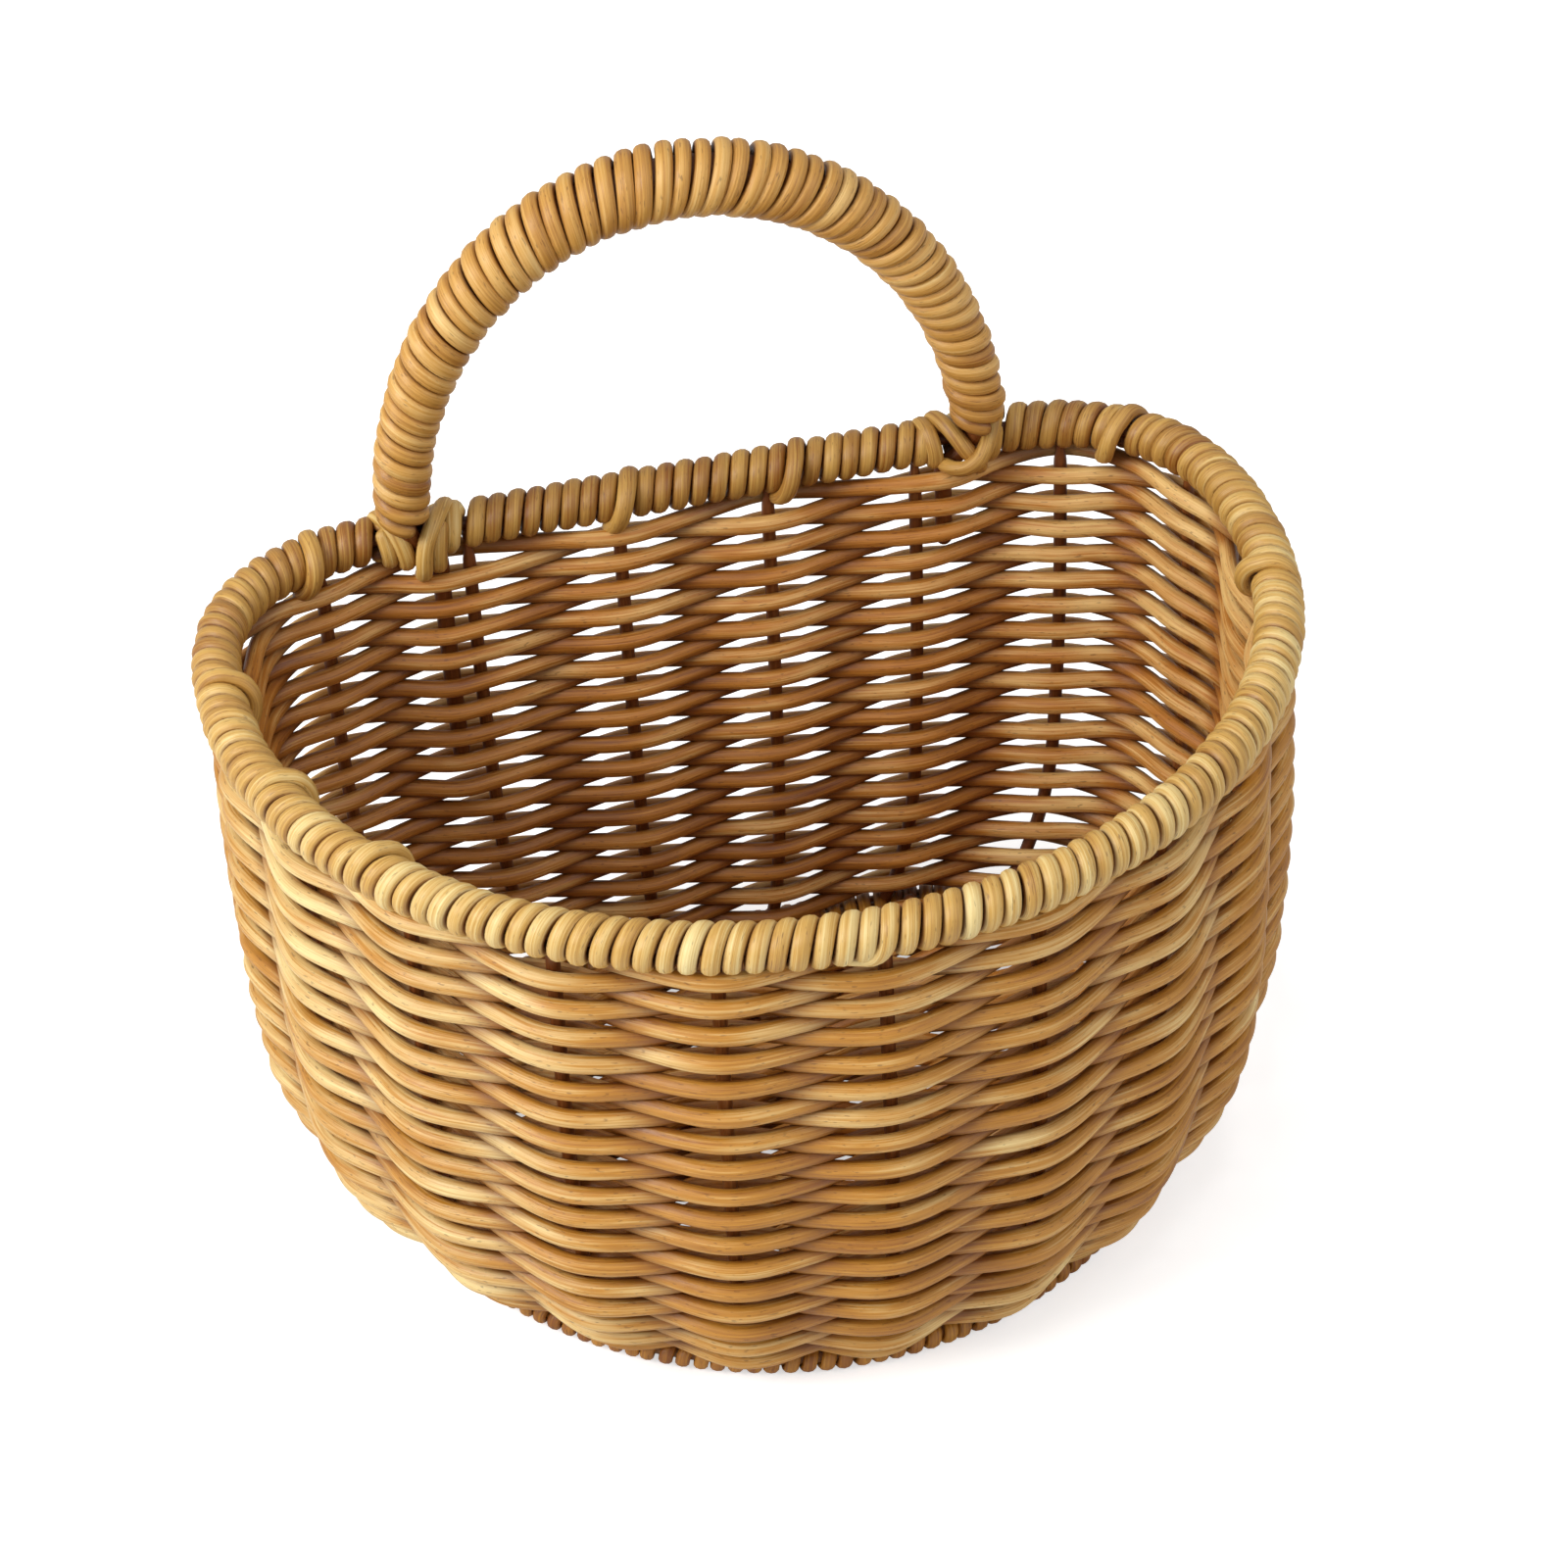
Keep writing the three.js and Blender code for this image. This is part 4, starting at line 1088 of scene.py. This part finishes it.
# The floor's cane takes a depth inside the basket, so it wears the darker inner tones: painted shade
FLOOR_DEPTH = -0.75
FLOOR_SIDES = 10
STICK_DEPTH = 0.8
STICK_RINGS = 50
foot_inner_outline = inset_outline(foot_outline, FOOT_WIDTH / 2)
floor_edge = on_outline(foot_inner_outline, np.arange(FLOOR_EDGE_STEPS) / FLOOR_EDGE_STEPS)
right_edge = floor_edge[floor_edge[:, 0] > 0]
stick_places = [i * FLOOR_STICK_GAP for i in range(-FLOOR_STICKS_PER_SIDE, FLOOR_STICKS_PER_SIDE + 1)]


def floor_side(y):
    """Where a pass turns back, so that its loop just meets the foot's ring."""
    loop = y - FLOOR_PASS_PITCH / 2
    edge = np.interp([loop - LOOP_REACH, loop + LOOP_REACH], right_edge[:, 1], right_edge[:, 0])
    return edge.min() + LOOP_PRESS - (FLOOR_PASS_PITCH / 2 + FLOOR_CANE_RADIUS)


def floor_path(rng):
    """The knots of the cane: over and under the sticks in turn, pass by pass from the back to the front."""
    wave = FLOOR_STICK_RADIUS + FLOOR_CANE_RADIUS
    rear = floor_edge[:, 1].max() - FLOOR_CANE_RADIUS - REAR_GAP
    front = floor_edge[:, 1].min() + 3 * FLOOR_CANE_RADIUS
    knots = []
    for number, y in enumerate(np.arange(rear, front, -FLOOR_PASS_PITCH)):
        way = 1 if number % 2 == 0 else -1
        side = floor_side(y)
        knots.append((-way * side, y, FLOOR_MIDDLE))
        for i, x in list(enumerate(stick_places))[::way]:
            if abs(x) < side - STICK_MARGIN:
                lift = wave if (i + number) % 2 == 0 else -wave
                knots.append((x, y + rng.normal(0, PASS_JITTER), FLOOR_MIDDLE + lift))
        knots.append((way * side, y, FLOOR_MIDDLE))
        knots.append((way * (side + FLOOR_PASS_PITCH / 2), y - FLOOR_PASS_PITCH / 2, FLOOR_MIDDLE))
    return np.array(knots[:-1])


def floor_cane():
    canes = Canes("floor_weave", SEEDS["floor_cane"])
    knots = floor_path(canes.rng)
    length = running_lengths(knots)
    line = curve_through(np.linspace(0, length[-1], int(length[-1] / FLOOR_RING_STEP)), length, knots)
    at = np.linspace(0, FLOOR_TONE_CHANGES, len(line))
    tone = uneven(canes.rng, at, np.arange(FLOOR_TONE_CHANGES + 1), FLOOR_TONE_SPREAD, FLOOR_TONE)
    guide = np.tile(UPWARDS, (len(line), 1))
    canes.add(line, FLOOR_CANE_RADIUS, guide, even_depth(FLOOR_DEPTH), tone, sides=FLOOR_SIDES)
    canes.build(weave_material, "weave_cane", "floor_cane")


floor_cane()


def floor_sticks(name, places, seed, node):
    canes = Canes(name, seed)
    for x in places:
        near = floor_edge[np.abs(floor_edge[:, 0] - x) < 2 * FLOOR_STICK_RADIUS, 1]
        y = np.linspace(near[near > 0].min() + STICK_TUCK, near[near < 0].max() - STICK_TUCK, STICK_RINGS)
        line = np.column_stack([np.full(len(y), float(x)), y, np.full(len(y), float(FLOOR_MIDDLE))])
        guide = np.tile(UPWARDS, (len(line), 1))
        tone = canes.rng.normal(0, STAKE_TONE_SPREAD)
        canes.add(line, FLOOR_STICK_RADIUS, guide, even_depth(STICK_DEPTH), tone)
    canes.build(stake_material, "stake_cane", node)


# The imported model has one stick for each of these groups
stick_groups = (
    ("floor_spokes_left", stick_places[:FLOOR_STICKS_PER_SIDE]),
    ("floor_spoke_middle", stick_places[FLOOR_STICKS_PER_SIDE:-FLOOR_STICKS_PER_SIDE]),
    ("floor_spokes_right", stick_places[-FLOOR_STICKS_PER_SIDE:]),
)
for index, ((name, places), node) in enumerate(zip(stick_groups, nodes_named("floor_stick"))):
    floor_sticks(name, places, SEEDS["floor_sticks"] + index, node)


# Stage: camera, floor and lights
CAMERA_AZIMUTH = -12.9
CAMERA_ELEVATION = 37.8
CAMERA_ROLL = -2.71
CAMERA_DISTANCE = 1350
CAMERA_TARGET = (2.25, 13.1, 128.5)
# Focal length over the picture's width, both in the photograph's pixels
CAMERA_LENS_SHARE = 5079 / 1600
SENSOR_WIDTH = 36
CAMERA_CLIP = (0.05, 50)

# The paper floor: half its size and its depth below the foot in metres, and a glow that only the camera sees
WHITE = (1, 1, 1, 1)
PAPER_HALF = 6.0
PAPER_BELOW = 0.0003
PAPER_GLOW = 0.58
PAPER_LOOK = {
    "Base Color": (0.8, 0.8, 0.8, 1), "Roughness": 0.9, "Specular IOR Level": 0.1, "Emission Color": WHITE,
}
# Strength of the white surroundings, where the camera doesn't see them
AMBIENT = 0.5

# Soft lamps: azimuth, elevation, distance and size in metres, power in watts, colour
LAMP_AIM = (0, 0, 0.12)
LAMPS = {
    "key": (-76, 36, 1.6, 0.9, 20, (1.0, 0.985, 0.96)),
    "fill": (45, 35, 1.8, 1.2, 5, (1.0, 0.99, 0.98)),
    "top": (-10, 78, 1.7, 1.0, 5, (1.0, 1.0, 1.0)),
}


def direction(azimuth, elevation):
    a, e = math.radians(azimuth), math.radians(elevation)
    return Vector((math.sin(a) * math.cos(e), -math.cos(a) * math.cos(e), math.sin(e)))


def make_camera():
    azimuth, roll = math.radians(CAMERA_AZIMUTH), math.radians(CAMERA_ROLL)
    back = direction(CAMERA_AZIMUTH, CAMERA_ELEVATION)
    level = Vector((math.cos(azimuth), math.sin(azimuth), 0))
    upright = back.cross(level)
    right = level * math.cos(roll) + upright * math.sin(roll)
    up = upright * math.cos(roll) - level * math.sin(roll)
    data = bpy.data.cameras.new("camera")
    data.sensor_width = SENSOR_WIDTH
    data.lens = SENSOR_WIDTH * CAMERA_LENS_SHARE
    data.clip_start, data.clip_end = CAMERA_CLIP
    camera = bpy.data.objects.new("camera", data)
    place = Matrix.Translation((Vector(CAMERA_TARGET) + back * CAMERA_DISTANCE) * MM)
    camera.matrix_world = place @ Matrix((right, up, back)).transposed().to_4x4()
    bpy.context.scene.collection.objects.link(camera)
    bpy.context.scene.camera = camera


def make_floor():
    mesh = bpy.data.meshes.new("floor")
    corners = [(x * PAPER_HALF, y * PAPER_HALF, 0) for x, y in ((-1, -1), (1, -1), (1, 1), (-1, 1))]
    mesh.from_pydata(corners, [], [(0, 1, 2, 3)])
    floor = bpy.data.objects.new("floor", mesh)
    floor.location.z = -PAPER_BELOW
    bpy.context.scene.collection.objects.link(floor)
    g = Graph("floor_paper")
    for socket, value in PAPER_LOOK.items():
        g.shader.inputs[socket].default_value = value
    seen = g.node("ShaderNodeLightPath").outputs["Is Camera Ray"]
    g.tree.links.new(g.math("MULTIPLY", seen, PAPER_GLOW), g.shader.inputs["Emission Strength"])
    mesh.materials.append(g.material)


def make_world():
    world = bpy.data.worlds.new("studio")
    world.use_nodes = True
    tree = world.node_tree
    background = tree.nodes["Background"]
    background.inputs["Color"].default_value = WHITE
    path = tree.nodes.new("ShaderNodeLightPath")
    strength = tree.nodes.new("ShaderNodeMapRange")
    tree.links.new(path.outputs["Is Camera Ray"], strength.inputs["Value"])
    strength.inputs["To Min"].default_value = AMBIENT
    strength.inputs["To Max"].default_value = 1.0
    tree.links.new(strength.outputs["Result"], background.inputs["Strength"])
    bpy.context.scene.world = world


def soft_box(name, azimuth, elevation, distance, size, power, colour):
    data = bpy.data.lights.new(name, "AREA")
    data.shape = "DISK"
    data.size = size
    data.energy = power
    data.color = colour
    lamp = bpy.data.objects.new(name, data)
    back = direction(azimuth, elevation)
    lamp.location = Vector(LAMP_AIM) + back * distance
    lamp.rotation_euler = back.to_track_quat("Z", "Y").to_euler()
    bpy.context.scene.collection.objects.link(lamp)


make_camera()
make_floor()
make_world()
for name, values in LAMPS.items():
    soft_box(name, *values)
bpy.context.scene.view_settings.view_transform = "Standard"
